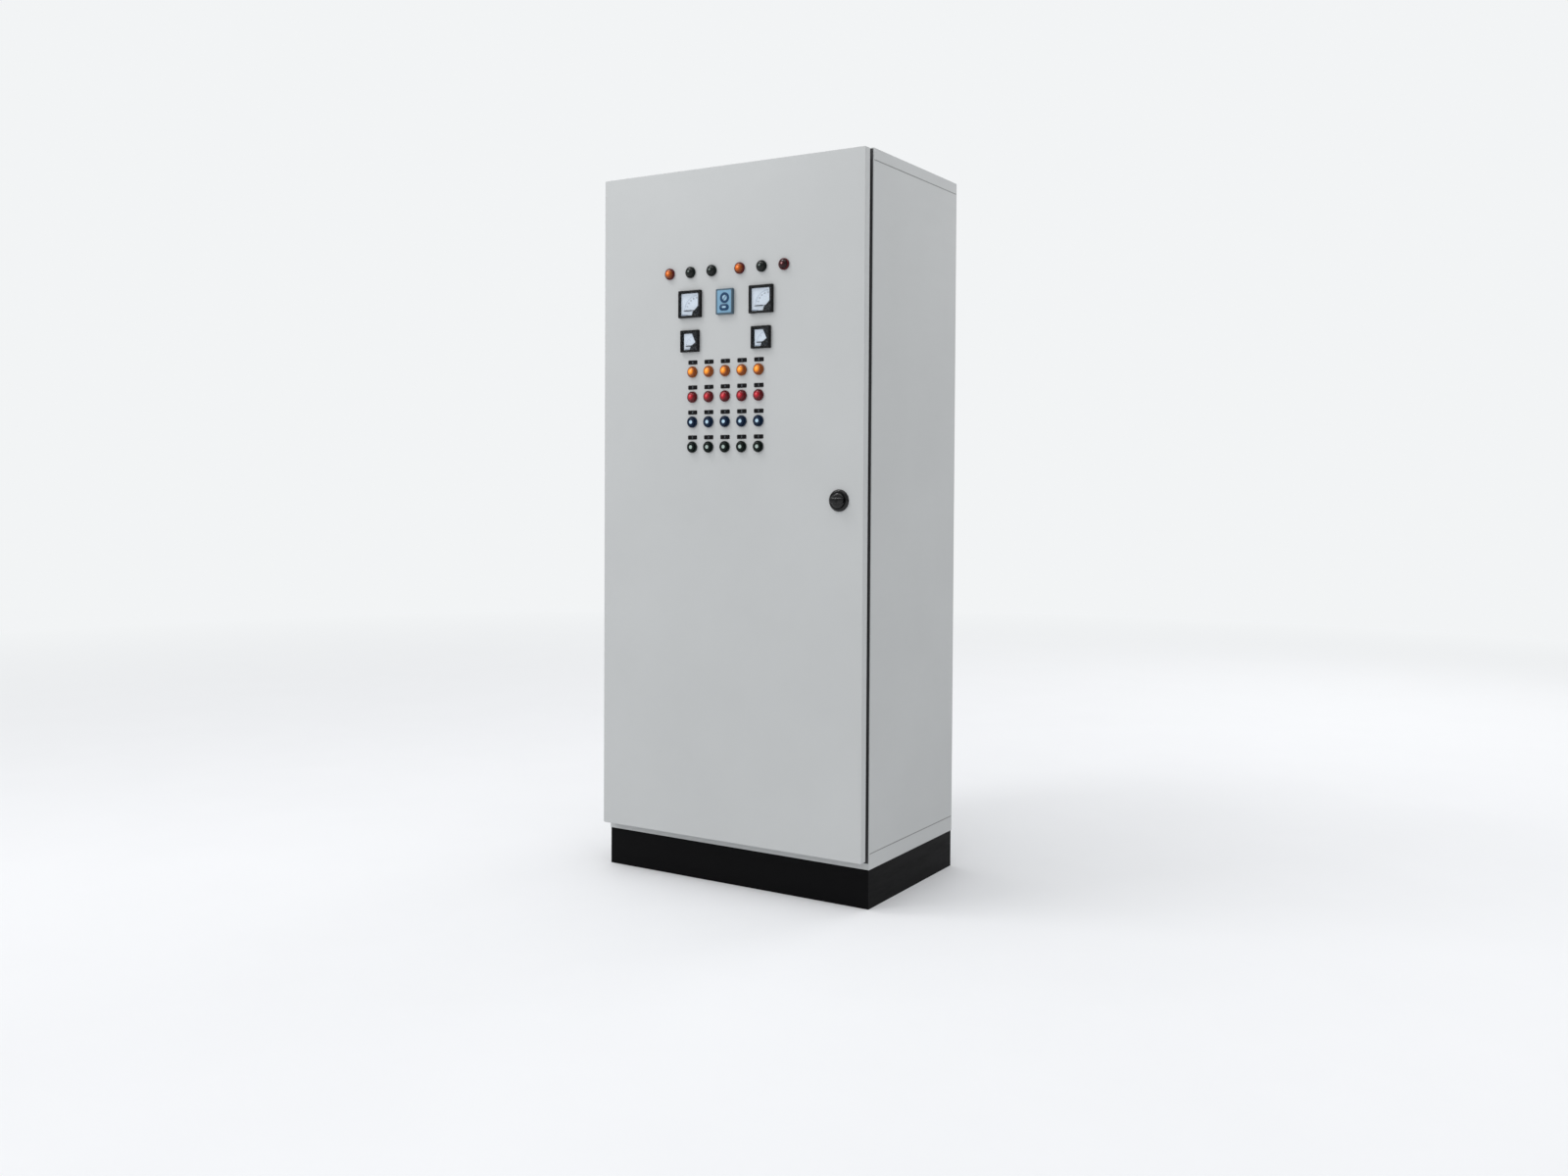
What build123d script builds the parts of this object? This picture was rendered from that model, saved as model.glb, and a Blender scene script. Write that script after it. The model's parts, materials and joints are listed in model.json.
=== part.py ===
from build123d import *
import math
import os

# Floor-standing switchboard cabinet. A welded frame on a plinth is closed by panels and by
# one hinged door, which carries lamps, meters, push buttons and a lock with two rods.
# Inside, a mounting plate carries the switchgear.
# +Z is up, the door faces -Y, and the origin is on the floor at the plinth's centre.
# All sizes are in millimetres.

# ---- Overall ----
BODY_W = 820.0            # across the side panels
BODY_D = 490.0            # front edge of the side panels to the rear panel's outer face
TOTAL_H = 1900.0          # floor to roof
PLINTH_H = 100.0
SHEET = 2.0               # body panels, frame and rim
RING_H = 40.0             # base ring of the frame
ROOF_SKIRT = 30.0

# ---- Frame ----
POST = 28.0               # square tube
POST_WALL = 2.0
PANEL_GAP = 2.0           # between a side panel and the post behind it
RING_FLANGE = 35.0        # inward flanges of the base ring
RIM_SET = 3.0             # from the post's inner face to the door opening
SILL = 18.0               # from the base ring up to the door opening
HEAD = 38.0               # from the roof down to the door opening
RETURN_W = 30.0           # folded edges of the side panels
PANEL_BEND = 2.0          # outer bend radius of folded sheet
FRAME_LAP = 20.0          # front frame reaches this far up behind the roof's skirt

# ---- Plinth ----
PLINTH_INSET = 1.5
PLINTH_SHEET = 2.0
CORNER_LEG = 60.0
CORNER_WALL = 4.0
ANCHOR_INSET = 32.0       # floor anchor hole from the corner piece's outer faces
ANCHOR_R = 7.0

# ---- Bottom closure ----
GLAND_PLATE_T = 2.0
GLAND_PLATE_MARGIN = 13.0
GLAND_PLATE_SPLIT = 2.0
GLAND_COUNT = 6
GLAND_PITCH = 90.0
GLAND_FROM_REAR = 105.0
GLAND_THREAD_R = 16.0
GLAND_HEX_R = 23.0
GLAND_HEX_H = 8.0
GLAND_DOME_R = 19.0
GLAND_DOME_H = 18.0
GLAND_NUT_H = 6.0

# ---- Door ----
DOOR_SHEET = 2.0
DOOR_DEPTH = 22.0         # depth of the folded tray
DOOR_STANDOFF = 14.0      # tray's rear edge to the body's front face
DOOR_SIDE_GAP = 3.0       # door edge set in from the body's side
DOOR_FOOT = 22.0          # door's lower edge above the plinth
DOOR_TOP_GAP = 3.0        # door's upper edge below the roof
DOOR_CORNER_R = 4.0
GASKET_W = 14.0
GASKET_T = 10.0
STIFFENER_W = 20.0
STIFFENER_D = 13.0
STIFFENER_WALL = 1.5
STIFFENER_EDGE = 72.0     # hinge-side stiffener from the door's edge
STIFFENER_AIR = 4.0       # lock-side stiffener from the lock case and the keepers
STIFFENER_ENDS = 48.0     # stiffener ends from the door's ends
CROSS_FROM_TOP = 130.0
CROSS_FROM_FOOT = 140.0
CROSS_BELOW_PANEL = 100.0

# ---- Hinges ----
HINGE_INSET = 6.0         # axis from the body's side
HINGE_STANDOFF = 8.0      # axis in front of the body's front face
BARREL_R = 5.0
PIN_R = 3.0
PIN_CLEAR = 0.05
PIN_HEAD_R = 4.5
PIN_HEAD_H = 2.5
HINGE_H = 60.0
LEAF_BARREL_H = 24.0
KNUCKLE_GAP = 0.3
LEAF_T = 3.0
BRACKET_W = 17.0
KNUCKLE_LAP = 2.0         # the knuckle's block and the bracket's plate past the barrel's edge
HINGE_ENDS = 180.0        # outer hinges from the door's ends

# ---- Lock ----
LOCK_FROM_EDGE = 69.0     # spindle from the door's free edge
LOCK_Z = 1025.0
ROSETTE_R = 28.0
ROSETTE_H = 6.0
ROSETTE_CHAMFER = 2.0
ROSETTE_CLEAR = 0.3
KNOB_R = 19.0
KNOB_DISC_H = 6.0
WING_L = 39.0
WING_W = 15.0
WING_H = 11.0
WING_EDGE_R = 2.5
WING_END_FLAT = 0.5       # flat left on each side of the middle of the wing's end
KNOB_LIFT = 0.3           # air between rosette and knob
SPINDLE_R = 6.0
SPINDLE_IN_KNOB = 7.5
SPINDLE_CLEAR = 0.05
STUB_R = 4.0
GEAR_TEETH = 12
GEAR_MODULE = 2.0
GEAR_PRESSURE = 25.0      # degrees, steep enough that twelve teeth need no undercut
GEAR_ADDENDUM = 1.8
GEAR_DEDENDUM = 2.3
GEAR_BACKLASH = 0.2
GEAR_W = 8.0
FLANK_STEPS = 5           # straight steps along one tooth flank
RACK_LAP = 1.0            # rack teeth reach this far into the rod
ROD_W = 8.0
ROD_T = 6.0
ROD_CLEAR = 0.3
LOCK_TURN = 90.0
ROD_SPARE = 13.0          # rod beyond its last tooth in mesh
ROD_END_GAP = 24.0        # retracted rod end from the door opening's edge
LOCK_CASE_WALL = 3.0
LOCK_CASE_HALF_H = 46.0
LOCK_CASE_SPARE = 2.5     # beside the rods
GUIDE_H = 24.0
GUIDE_WALL = 4.0
GUIDE_FROM_END = 80.0
GUIDE_FROM_LOCK = 280.0
KEEPER_W = 30.0
KEEPER_T = 3.5
KEEPER_DROP = 17.0
KEEPER_FOOT_T = 2.5
KEEPER_FOOT_L = 22.0
KEEPER_AIR = 1.0          # keeper to rod
KEEPER_SEAL_AIR = 0.5     # keeper to the gasket in front of it

# ---- Door devices ----
PANEL_X = -5.0            # centre of the devices from the door's centre
PANEL_HOLE_R = 11.25
NECK_R = 11.0
NECK_BORE_R = 9.0
NECK_L = 18.0
BEZEL_R = 15.0
BEZEL_H = 6.0
BEZEL_SEAT_R = 12.0
BEZEL_SHELF_H = 2.0
BEZEL_CHAMFER = 0.8
LENS_R = 11.7
LENS_EDGE_H = 5.5
LENS_RISE = 4.0
BLOCK_W = 28.0
BLOCK_H = 44.0
BLOCK_D = 45.0
COLLAR_R = 14.0
COLLAR_CLEAR = 0.3
BUTTON_R = 11.4
BUTTON_FACE = 10.0        # button face above the door
BUTTON_CAP_H = 3.5
BUTTON_TRAVEL = 4.0
BUTTON_SIDE_CLEAR = 0.05
BUTTON_EDGE_R = 1.0
BUTTON_DIMPLE_R = 5.0
BUTTON_DIMPLE_H = 0.8
STEM_END_AIR = 1.0

LAMP_FROM_TOP = 272.0     # upper lamp row below the door's upper edge
LAMP_PITCH = 67.5
LAMP_GROUP_X = 111.5      # centre of each group of three from the panel's centre
COLUMNS = 5
COLUMN_PITCH = 52.0
ROW_PITCH = 66.3
MATRIX_FROM_TOP = 536.0   # first row of the matrix below the door's upper edge
LABEL_W = 29.0
LABEL_H = 11.0
LABEL_T = 1.5
LABEL_RISE = 25.5

# ---- Instruments ----
BIG_METER = 72.0
SMALL_METER = 58.0
BIG_FROM_TOP = 356.0
SMALL_FROM_TOP = 454.0
METER_BEZEL_H = 8.0
METER_BORDER = 5.5
METER_STEP = 2.5          # bezel overlaps the cut-out by this much each side
METER_CLEAR = 0.5         # meter body in its cut-out, each side
METER_DEPTH = 50.0
METER_FLOOR = 1.0         # dial seat above the door's face
DIAL_T = 1.0
POINTER_T = 0.6
POINTER_W = 2.0
POINTER_Z = 3.2
POINTER_HUB_R = 3.5
POINTER_SHAFT_R = 1.0
POINTER_SHAFT_CLEAR = 0.05
POINTER_SHAFT_DEPTH = 4.0
POINTER_END_AIR = 0.5
MASK_Z = 5.0
MASK_T = 1.0
PANE_Z = 6.4
PANE_T = 1.0
# Outlines of the dials and of the masks over their corners, and the pointers' axes, seen
# from the front. They are given as parts of the half width of the meter's recess.
BIG_DIAL = [(-0.97, 0.93), (0.80, 0.93), (0.80, -0.16), (0.30, -0.66), (0.20, -0.97), (-0.97, -0.97)]
BIG_MASK = [(1, -0.23), (0.33, -0.66), (0.23, -1), (1, -1)]
BIG_PIVOT = (0.69, -0.56)
BIG_REACH = 1.41
SMALL_DIAL = [(-0.85, 0.85), (0.21, 0.85), (0.68, -0.13), (0.17, -0.51), (-0.04, -0.96), (-0.85, -0.96)]
SMALL_LOWER_MASK = [(1, -0.26), (0.21, -0.51), (0, -1), (1, -1)]
SMALL_UPPER_MASK = [(1, 1), (0.26, 1), (1, 0.04)]
SMALL_PIVOT = (0.60, -0.55)
SMALL_REACH = 1.23
CONTROLLER_W = 52.0
CONTROLLER_H = 67.0
CONTROLLER_BEZEL_H = 9.0
CONTROLLER_BORDER = 4.0
CONTROLLER_DEPTH = 60.0
SCREEN_T = 1.5
SCREEN_SUNK = 0.5
CASE_CORNER_R = 2.5

# ---- Rear panel screws ----
SCREW_R = 2.9
SCREW_HOLE_R = 3.2
SCREW_HEAD_R = 5.5
SCREW_HEAD_H = 3.0
SCREW_L = 13.0
SCREW_ROWS = 4
SCREW_ENDS = 60.0

# ---- Mounting plate and switchgear ----
PLATE_T = 3.0
PLATE_FOLD = 13.0
PLATE_SIDE = 28.0         # plate edge from the post
PLATE_FOOT = 40.0         # above the base ring
PLATE_HEAD = 70.0         # below the roof
LUG_H = 40.0
LUG_T = 4.0
LUG_LAP = 4.0
LUG_ENDS = 50.0
DUCT_W = 40.0
DUCT_D = 60.0
DUCT_WALL = 2.0
DUCT_LID_T = 2.0
DUCT_EDGE = 5.0           # duct from the plate's edge
DUCT_TOP = 10.0
WIRE_SPACE = 45.0         # free height above and below a row of devices
FEEDERS = 5
FEEDER_PITCH = 110.0
BREAKER_W = 105.0
BREAKER_H = 165.0
BREAKER_D = 86.0
BREAKER_NOSE_H = 70.0
BREAKER_NOSE_D = 8.0
LEVER_SLOT_W = 20.0
LEVER_SLOT_H = 44.0
LEVER_SLOT_D = 28.0
LEVER_HUB_R = 8.0
LEVER_HUB_L = 18.0
LEVER_AXIS_D = 16.0       # lever axis behind the nose
LEVER_L = 36.0
LEVER_W = 12.0
LEVER_T = 6.0
LEVER_REST = 25.0         # degrees below level when switched off
BAR_W = 20.0
BAR_T = 6.0
BAR_PITCH = 30.0
BAR_COUNT = 3
BAR_OVERHANG = 20.0
SUPPORT_W = 30.0
SUPPORT_MARGIN = 15.0
SUPPORT_D = 60.0
SUPPORT_INSET = 55.0      # busbar support from the vertical duct
BAR_SEAT = 16.0           # depth of the slots in the supports
FUSE_POLES = 3
FUSE_POLE_PITCH = 32.0
FUSE_BASE_W = 98.0
FUSE_BASE_H = 150.0
FUSE_BASE_D = 35.0
JAW_W = 14.0
JAW_H = 22.0
JAW_D = 26.0
JAW_SPACING = 84.0
BLADE_T = 2.0
BLADE_CLEAR = 0.1
BLADE_D = 16.0
LINK_W = 24.0
LINK_H = 54.0
LINK_D = 30.0
RAIL_H = 35.0
RAIL_D = 7.5
RAIL_WALL = 1.0
RAIL_CROWN = 25.0
CONTACTOR_W = 45.0
CONTACTOR_H = 85.0
CONTACTOR_D = 60.0
CONTACTOR_NOSE_H = 55.0
CONTACTOR_NOSE_D = 30.0
RELAY_H = 60.0
RELAY_D = 78.0
TERMINALS = 30
TERMINAL_W = 8.0
TERMINAL_H = 50.0
TERMINAL_D = 44.0

# ---- Planes and lines that the pieces share ----
HALF_W = BODY_W / 2
FRONT = -BODY_D / 2
REAR = BODY_D / 2
RING_TOP = PLINTH_H + RING_H
ROOF_EDGE = TOTAL_H - ROOF_SKIRT
POST_OUT = HALF_W - SHEET - PANEL_GAP
POST_IN = POST_OUT - POST
FRAME_FRONT = FRONT + SHEET
POST_FRONT = FRAME_FRONT + SHEET
POST_REAR = REAR - 2 * SHEET
OPEN_X = POST_IN - RIM_SET
OPEN_Z0 = RING_TOP + SILL
OPEN_Z1 = TOTAL_H - HEAD

DOOR_X = HALF_W - DOOR_SIDE_GAP
DOOR_Z0 = PLINTH_H + DOOR_FOOT
DOOR_Z1 = TOTAL_H - DOOR_TOP_GAP
DOOR_BACK = FRONT - DOOR_STANDOFF
DOOR_FACE = DOOR_BACK - DOOR_DEPTH
DOOR_INNER = DOOR_FACE + DOOR_SHEET
RIM_FRONT = DOOR_INNER + GASKET_T

HINGE_X = HINGE_INSET - HALF_W
HINGE_Y = FRONT - HINGE_STANDOFF
HINGE_ZS = [DOOR_Z0 + HINGE_ENDS, (DOOR_Z0 + DOOR_Z1) / 2, DOOR_Z1 - HINGE_ENDS]

LOCK_X = DOOR_X - LOCK_FROM_EDGE
PITCH_R = GEAR_MODULE * GEAR_TEETH / 2
ROD_TRAVEL = PITCH_R * math.radians(LOCK_TURN)
ROD_MID_Y = RIM_FRONT + KEEPER_SEAL_AIR + KEEPER_T + KEEPER_AIR + ROD_T / 2
ROD_ROOT = PITCH_R + GEAR_DEDENDUM
ROD_OUT = ROD_ROOT + ROD_W
ROD_TOP = OPEN_Z1 - ROD_END_GAP
ROD_BOTTOM = OPEN_Z0 + ROD_END_GAP
UPPER_ROD_X = LOCK_X - ROD_ROOT - ROD_W / 2
LOWER_ROD_X = LOCK_X + ROD_ROOT + ROD_W / 2
LOCK_CASE_X = ROD_OUT + LOCK_CASE_SPARE + LOCK_CASE_WALL
LOCK_CASE_BACK = ROD_MID_Y + GEAR_W / 2 + LOCK_CASE_SPARE
KEEPER_X = ROD_ROOT + ROD_W / 2 + KEEPER_W / 2
STIFFENER_LOCK_X = LOCK_X - max(LOCK_CASE_X, KEEPER_X) - STIFFENER_AIR - STIFFENER_W / 2

LAMP_Z = DOOR_Z1 - LAMP_FROM_TOP
MATRIX_Z = DOOR_Z1 - MATRIX_FROM_TOP
BIG_Z = DOOR_Z1 - BIG_FROM_TOP
SMALL_Z = DOOR_Z1 - SMALL_FROM_TOP

PLATE_X = POST_IN - PLATE_SIDE
PLATE_Y = POST_REAR - POST - PLATE_FOLD
PLATE_Z0 = RING_TOP + PLATE_FOOT
PLATE_Z1 = TOTAL_H - PLATE_HEAD
DUCT_OUT = PLATE_X - DUCT_EDGE
DUCT_IN = DUCT_OUT - DUCT_W

# Each row of devices stands between two horizontal ducts, stacked down from the top.
STARTER_H = CONTACTOR_H + RELAY_H
BUS_H = (BAR_COUNT - 1) * BAR_PITCH + BAR_W + 2 * SUPPORT_MARGIN
ROW_HEIGHTS = [BREAKER_H, BUS_H, FUSE_BASE_H, STARTER_H, TERMINAL_H]
DUCT_ZS = [PLATE_Z1 - DUCT_TOP - DUCT_W / 2]
ROW_ZS = []
for row_height in ROW_HEIGHTS:
    step = DUCT_W + row_height + 2 * WIRE_SPACE
    ROW_ZS.append(DUCT_ZS[-1] - step / 2)
    DUCT_ZS.append(DUCT_ZS[-1] - step)
BREAKER_Z, BUS_Z, FUSE_Z, STARTER_Z, TERMINAL_Z = ROW_ZS
CONTACTOR_Z = STARTER_Z + RELAY_H / 2
RELAY_Z = CONTACTOR_Z - CONTACTOR_H / 2 - RELAY_H / 2


# ---- Helpers ----
def block(x0, x1, y0, y1, z0, z1):
    """A box between two corners."""
    centre = Pos((x0 + x1) / 2, (y0 + y1) / 2, (z0 + z1) / 2)
    return centre * Box(abs(x1 - x0), abs(y1 - y0), abs(z1 - z0))


def frame_xz(x, z0, z1, width, y0, y1):
    """A rectangular ring that stands in the XZ plane, width measured inwards."""
    outer = block(-x, x, y0, y1, z0, z1)
    return outer - block(width - x, x - width, y0, y1, z0 + width, z1 - width)


def disc(radius, z0, z1):
    """A cylinder along Z."""
    return Pos(0, 0, (z0 + z1) / 2) * Cylinder(radius, z1 - z0)


def tube(outer_r, inner_r, z0, z1):
    """A round tube along Z."""
    return disc(outer_r, z0, z1) - disc(inner_r, z0, z1)


def on_door(x, z, shape):
    """Puts a shape on the door: its own +Z points out of the door's face."""
    return Pos(x, DOOR_FACE, z) * Rot(90, 0, 0) * shape


def domed_disc(radius, z0, z_edge, rise):
    """A round lens: flat back, straight edge, domed face."""
    sphere_r = (radius**2 + rise**2) / (2 * rise)
    top = z_edge + rise
    mid_z = top - sphere_r + math.sqrt(sphere_r**2 - radius**2 / 4)
    outline = Polyline((0, top), (0, z0), (radius, z0), (radius, z_edge))
    outline += ThreePointArc((radius, z_edge), (radius / 2, mid_z), (0, top))
    return revolve(make_face(Plane.XZ * outline), Axis.Z)


def round_block(width, height, radius, z0, z1):
    """A block with rounded upright edges, along Z."""
    return extrude(Pos(0, 0, z0) * RectangleRounded(width, height, radius), z1 - z0)


def feeder_xs():
    """X positions of the motor feeders on the mounting plate."""
    return [(i - (FEEDERS - 1) / 2) * FEEDER_PITCH for i in range(FEEDERS)]


# ---- Where the door's devices sit ----
def lamp_places():
    """Centres of the upper lamps, left to right."""
    xs = [side * LAMP_GROUP_X + step * LAMP_PITCH for side in (-1, 1) for step in (-1, 0, 1)]
    return [(PANEL_X + x, LAMP_Z) for x in xs]


def matrix_row(row):
    """Centres of one row of the matrix, left to right."""
    xs = [PANEL_X + (i - (COLUMNS - 1) / 2) * COLUMN_PITCH for i in range(COLUMNS)]
    return [(x, MATRIX_Z - row * ROW_PITCH) for x in xs]


AMBER_ROW, RED_ROW, RESET_ROW, START_ROW = range(4)
LAMPS = lamp_places()
AMBER_PLACES = [LAMPS[0], LAMPS[3]] + matrix_row(AMBER_ROW)
GREEN_PLACES = [LAMPS[1], LAMPS[2], LAMPS[4]]
RED_PLACES = [LAMPS[5]] + matrix_row(RED_ROW)
MATRIX_PLACES = [place for row in range(4) for place in matrix_row(row)]
DEVICE_PLACES = LAMPS + MATRIX_PLACES


# ---- Meters ----
class Meter:
    """One square panel meter whose pointer turns about the lower right corner."""

    def __init__(self, size, x, z, pivot, reach, dial, masks):
        self.size = size
        self.x = x
        self.z = z
        self.pivot = self.outline([pivot])[0]
        self.reach = reach * self.well
        self.dial = self.outline(dial)
        self.masks = [self.outline(mask) for mask in masks]

    @property
    def well(self):
        """Half the width of the recess behind the window."""
        return self.size / 2 - METER_BORDER

    @property
    def cutout(self):
        """Width of the square hole in the door."""
        return self.size - 2 * METER_STEP

    def outline(self, points):
        """Points given as parts of the well's half width, turned into millimetres."""
        return [(x * self.well, z * self.well) for x, z in points]


def big_meter(x):
    """The larger meter: a square dial with its lower right corner covered."""
    return Meter(BIG_METER, x, BIG_Z, BIG_PIVOT, BIG_REACH, BIG_DIAL, [BIG_MASK])


def small_meter(x):
    """The smaller meter: a fan-shaped dial between two covered corners."""
    masks = [SMALL_LOWER_MASK, SMALL_UPPER_MASK]
    return Meter(SMALL_METER, x, SMALL_Z, SMALL_PIVOT, SMALL_REACH, SMALL_DIAL, masks)


METERS = [big_meter(PANEL_X + side * LAMP_GROUP_X) for side in (-1, 1)]
METERS += [small_meter(PANEL_X + side * LAMP_GROUP_X) for side in (-1, 1)]


# ---- Plinth and frame ----
def plinth():
    """Four corner pieces and four trim panels."""
    x = HALF_W - PLINTH_INSET
    y = REAR - PLINTH_INSET
    pieces = [block(-x, x, s * y, s * (y - PLINTH_SHEET), 0, PLINTH_H) for s in (-1, 1)]
    inner_y = y - PLINTH_SHEET
    pieces += [block(s * x, s * (x - PLINTH_SHEET), -inner_y, inner_y, 0, PLINTH_H) for s in (-1, 1)]
    inner_x = x - PLINTH_SHEET
    for sx in (-1, 1):
        for sy in (-1, 1):
            pieces.append(plinth_corner(sx, sy, sx * inner_x, sy * inner_y))
    return pieces


def plinth_corner(sx, sy, x, y):
    """A corner piece: two upright walls, with a drilled plate at the top and the bottom."""
    outer = block(x, x - sx * CORNER_LEG, y, y - sy * CORNER_LEG, 0, PLINTH_H)
    room = block(
        x - sx * CORNER_WALL,
        x - sx * (CORNER_LEG + CORNER_WALL),
        y - sy * CORNER_WALL,
        y - sy * (CORNER_LEG + CORNER_WALL),
        CORNER_WALL,
        PLINTH_H - CORNER_WALL,
    )
    hole = Pos(x - sx * ANCHOR_INSET, y - sy * ANCHOR_INSET, 0) * disc(ANCHOR_R, 0, PLINTH_H)
    return outer - room - hole


def frame_skeleton():
    """The welded frame: base ring, four tubes, top ring and the lugs of the mounting plate."""
    ring = block(-HALF_W, HALF_W, FRONT, REAR, PLINTH_H, RING_TOP)
    ring -= block(
        SHEET - HALF_W, HALF_W - SHEET, FRONT + SHEET, REAR - SHEET, PLINTH_H + SHEET, RING_TOP - SHEET
    )
    well_x = HALF_W - RING_FLANGE
    ring -= block(-well_x, well_x, FRONT + RING_FLANGE, REAR - RING_FLANGE, PLINTH_H, RING_TOP)
    top = TOTAL_H - SHEET
    cap = block(-POST_OUT, POST_OUT, POST_FRONT, POST_REAR, top - ROOF_SKIRT, top)
    cap -= block(
        SHEET - POST_OUT, POST_OUT - SHEET, POST_FRONT + SHEET, POST_REAR - SHEET,
        top - ROOF_SKIRT, top - SHEET,
    )
    cap -= block(-POST_IN, POST_IN, POST_FRONT + POST, POST_REAR - POST, top - ROOF_SKIRT, top)
    skeleton = ring + cap
    for sx in (-1, 1):
        for y in (POST_FRONT, POST_REAR - POST):
            skeleton += post(sx, y, top - SHEET)
        for z in (PLATE_Z0 + LUG_ENDS, PLATE_Z1 - LUG_ENDS):
            lug_x = PLATE_X - LUG_LAP
            skeleton += block(
                sx * lug_x, sx * (POST_IN + POST_WALL), POST_REAR - POST, POST_REAR - POST + LUG_T,
                z - LUG_H / 2, z + LUG_H / 2,
            )
    holes = [Pos(x, 0, z) * screw_hole() for x, z in screw_places()]
    return [skeleton - holes]


def post(sx, y, top):
    """One upright square tube that stands on the base ring."""
    tube_out = block(sx * POST_IN, sx * POST_OUT, y, y + POST, RING_TOP, top)
    inner = POST_IN + POST_WALL
    outer = POST_OUT - POST_WALL
    return tube_out - block(sx * inner, sx * outer, y + POST_WALL, y + POST - POST_WALL, RING_TOP, top)


def gland_plates():
    """Two plates that close the base ring. The rear one is drilled for the cable glands."""
    x = HALF_W - SHEET - GLAND_PLATE_MARGIN
    y = REAR - SHEET - GLAND_PLATE_MARGIN
    z0 = PLINTH_H + SHEET
    front = block(-x, x, -y, -GLAND_PLATE_SPLIT / 2, z0, z0 + GLAND_PLATE_T)
    rear = block(-x, x, GLAND_PLATE_SPLIT / 2, y, z0, z0 + GLAND_PLATE_T)
    holes = [Pos(px, py, 0) * disc(GLAND_THREAD_R, z0, z0 + GLAND_PLATE_T) for px, py in gland_places()]
    return [front, rear - holes]


def gland_places():
    """Centres of the cable glands in the rear gland plate."""
    xs = [(i - (GLAND_COUNT - 1) / 2) * GLAND_PITCH for i in range(GLAND_COUNT)]
    return [(x, REAR - GLAND_FROM_REAR) for x in xs]


def cable_glands():
    """Glands with a hexagon and a domed cap below the plate, and a lock nut above it."""
    under = PLINTH_H + SHEET
    over = under + GLAND_PLATE_T
    hexagon = extrude(RegularPolygon(GLAND_HEX_R, 6), GLAND_HEX_H)
    gland = Pos(0, 0, under - GLAND_HEX_H) * hexagon
    gland += disc(GLAND_DOME_R, under - GLAND_HEX_H - GLAND_DOME_H, under - GLAND_HEX_H)
    gland += disc(GLAND_THREAD_R, under, over + GLAND_NUT_H)
    nut = extrude(RegularPolygon(GLAND_HEX_R, 6), GLAND_NUT_H)
    gland += Pos(0, 0, over) * nut
    return [Pos(x, y, 0) * gland for x, y in gland_places()]


def front_frame():
    """The sheet frame around the door opening, with the rim that the gasket seals on."""
    plate = block(-POST_OUT, POST_OUT, FRAME_FRONT, POST_FRONT, RING_TOP, ROOF_EDGE + FRAME_LAP)
    rim = block(
        -OPEN_X - SHEET, OPEN_X + SHEET, RIM_FRONT, POST_FRONT, OPEN_Z0 - SHEET, OPEN_Z1 + SHEET
    )
    opening = block(-OPEN_X, OPEN_X, RIM_FRONT, POST_FRONT, OPEN_Z0, OPEN_Z1)
    return [plate + rim - opening]


# ---- Outer panels ----
def roof_panel():
    """The roof: a shallow cap with a folded skirt."""
    outer = block(-HALF_W, HALF_W, FRONT, REAR, ROOF_EDGE, TOTAL_H)
    outer = fillet(outer.faces().sort_by(Axis.Z)[-1].edges(), PANEL_BEND)
    inner_x = HALF_W - SHEET
    return [outer - block(-inner_x, inner_x, FRONT + SHEET, REAR - SHEET, ROOF_EDGE, TOTAL_H - SHEET)]


def side_panel(sx):
    """A side panel with a folded edge at the front and one behind the rear panel."""
    z = (RING_TOP, ROOF_EDGE)
    inner = HALF_W - SHEET
    turned = HALF_W - RETURN_W
    panel = block(sx * inner, sx * HALF_W, FRONT, REAR, *z)
    panel += block(sx * turned, sx * HALF_W, FRONT, FRONT + SHEET, *z)
    panel += block(sx * turned, sx * inner, POST_REAR, POST_REAR + SHEET, *z)
    corner = panel.edges().filter_by(Axis.Z).sort_by_distance((sx * HALF_W, FRONT, RING_TOP))[0]
    panel = fillet(corner, PANEL_BEND)
    return [panel - [Pos(x, 0, z) * screw_hole() for x, z in screw_places() if x * sx > 0]]


def rear_panel():
    """The flat rear panel, screwed to the folded edges of the side panels."""
    panel = block(-POST_OUT, POST_OUT, REAR - SHEET, REAR, RING_TOP, ROOF_EDGE)
    return [panel - [Pos(x, 0, z) * screw_hole() for x, z in screw_places()]]


def screw_places():
    """X and Z of the rear panel's screws, on the middle of the rear posts."""
    low = RING_TOP + SCREW_ENDS
    pitch = (ROOF_EDGE - RING_TOP - 2 * SCREW_ENDS) / (SCREW_ROWS - 1)
    x = POST_IN + POST / 2
    return [(side * x, low + i * pitch) for side in (-1, 1) for i in range(SCREW_ROWS)]


def screw_hole():
    """A clearance hole through the rear panel, the fold and the post's rear wall."""
    return Pos(0, REAR, 0) * Rot(90, 0, 0) * disc(SCREW_HOLE_R, 0, 2 * SHEET + POST_WALL)


def panel_screws():
    """Pan-head screws that hold the rear panel."""
    screw = disc(SCREW_HEAD_R, -SCREW_HEAD_H, 0) + disc(SCREW_R, 0, SCREW_L)
    return [Pos(x, REAR, z) * Rot(90, 0, 0) * screw for x, z in screw_places()]


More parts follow.
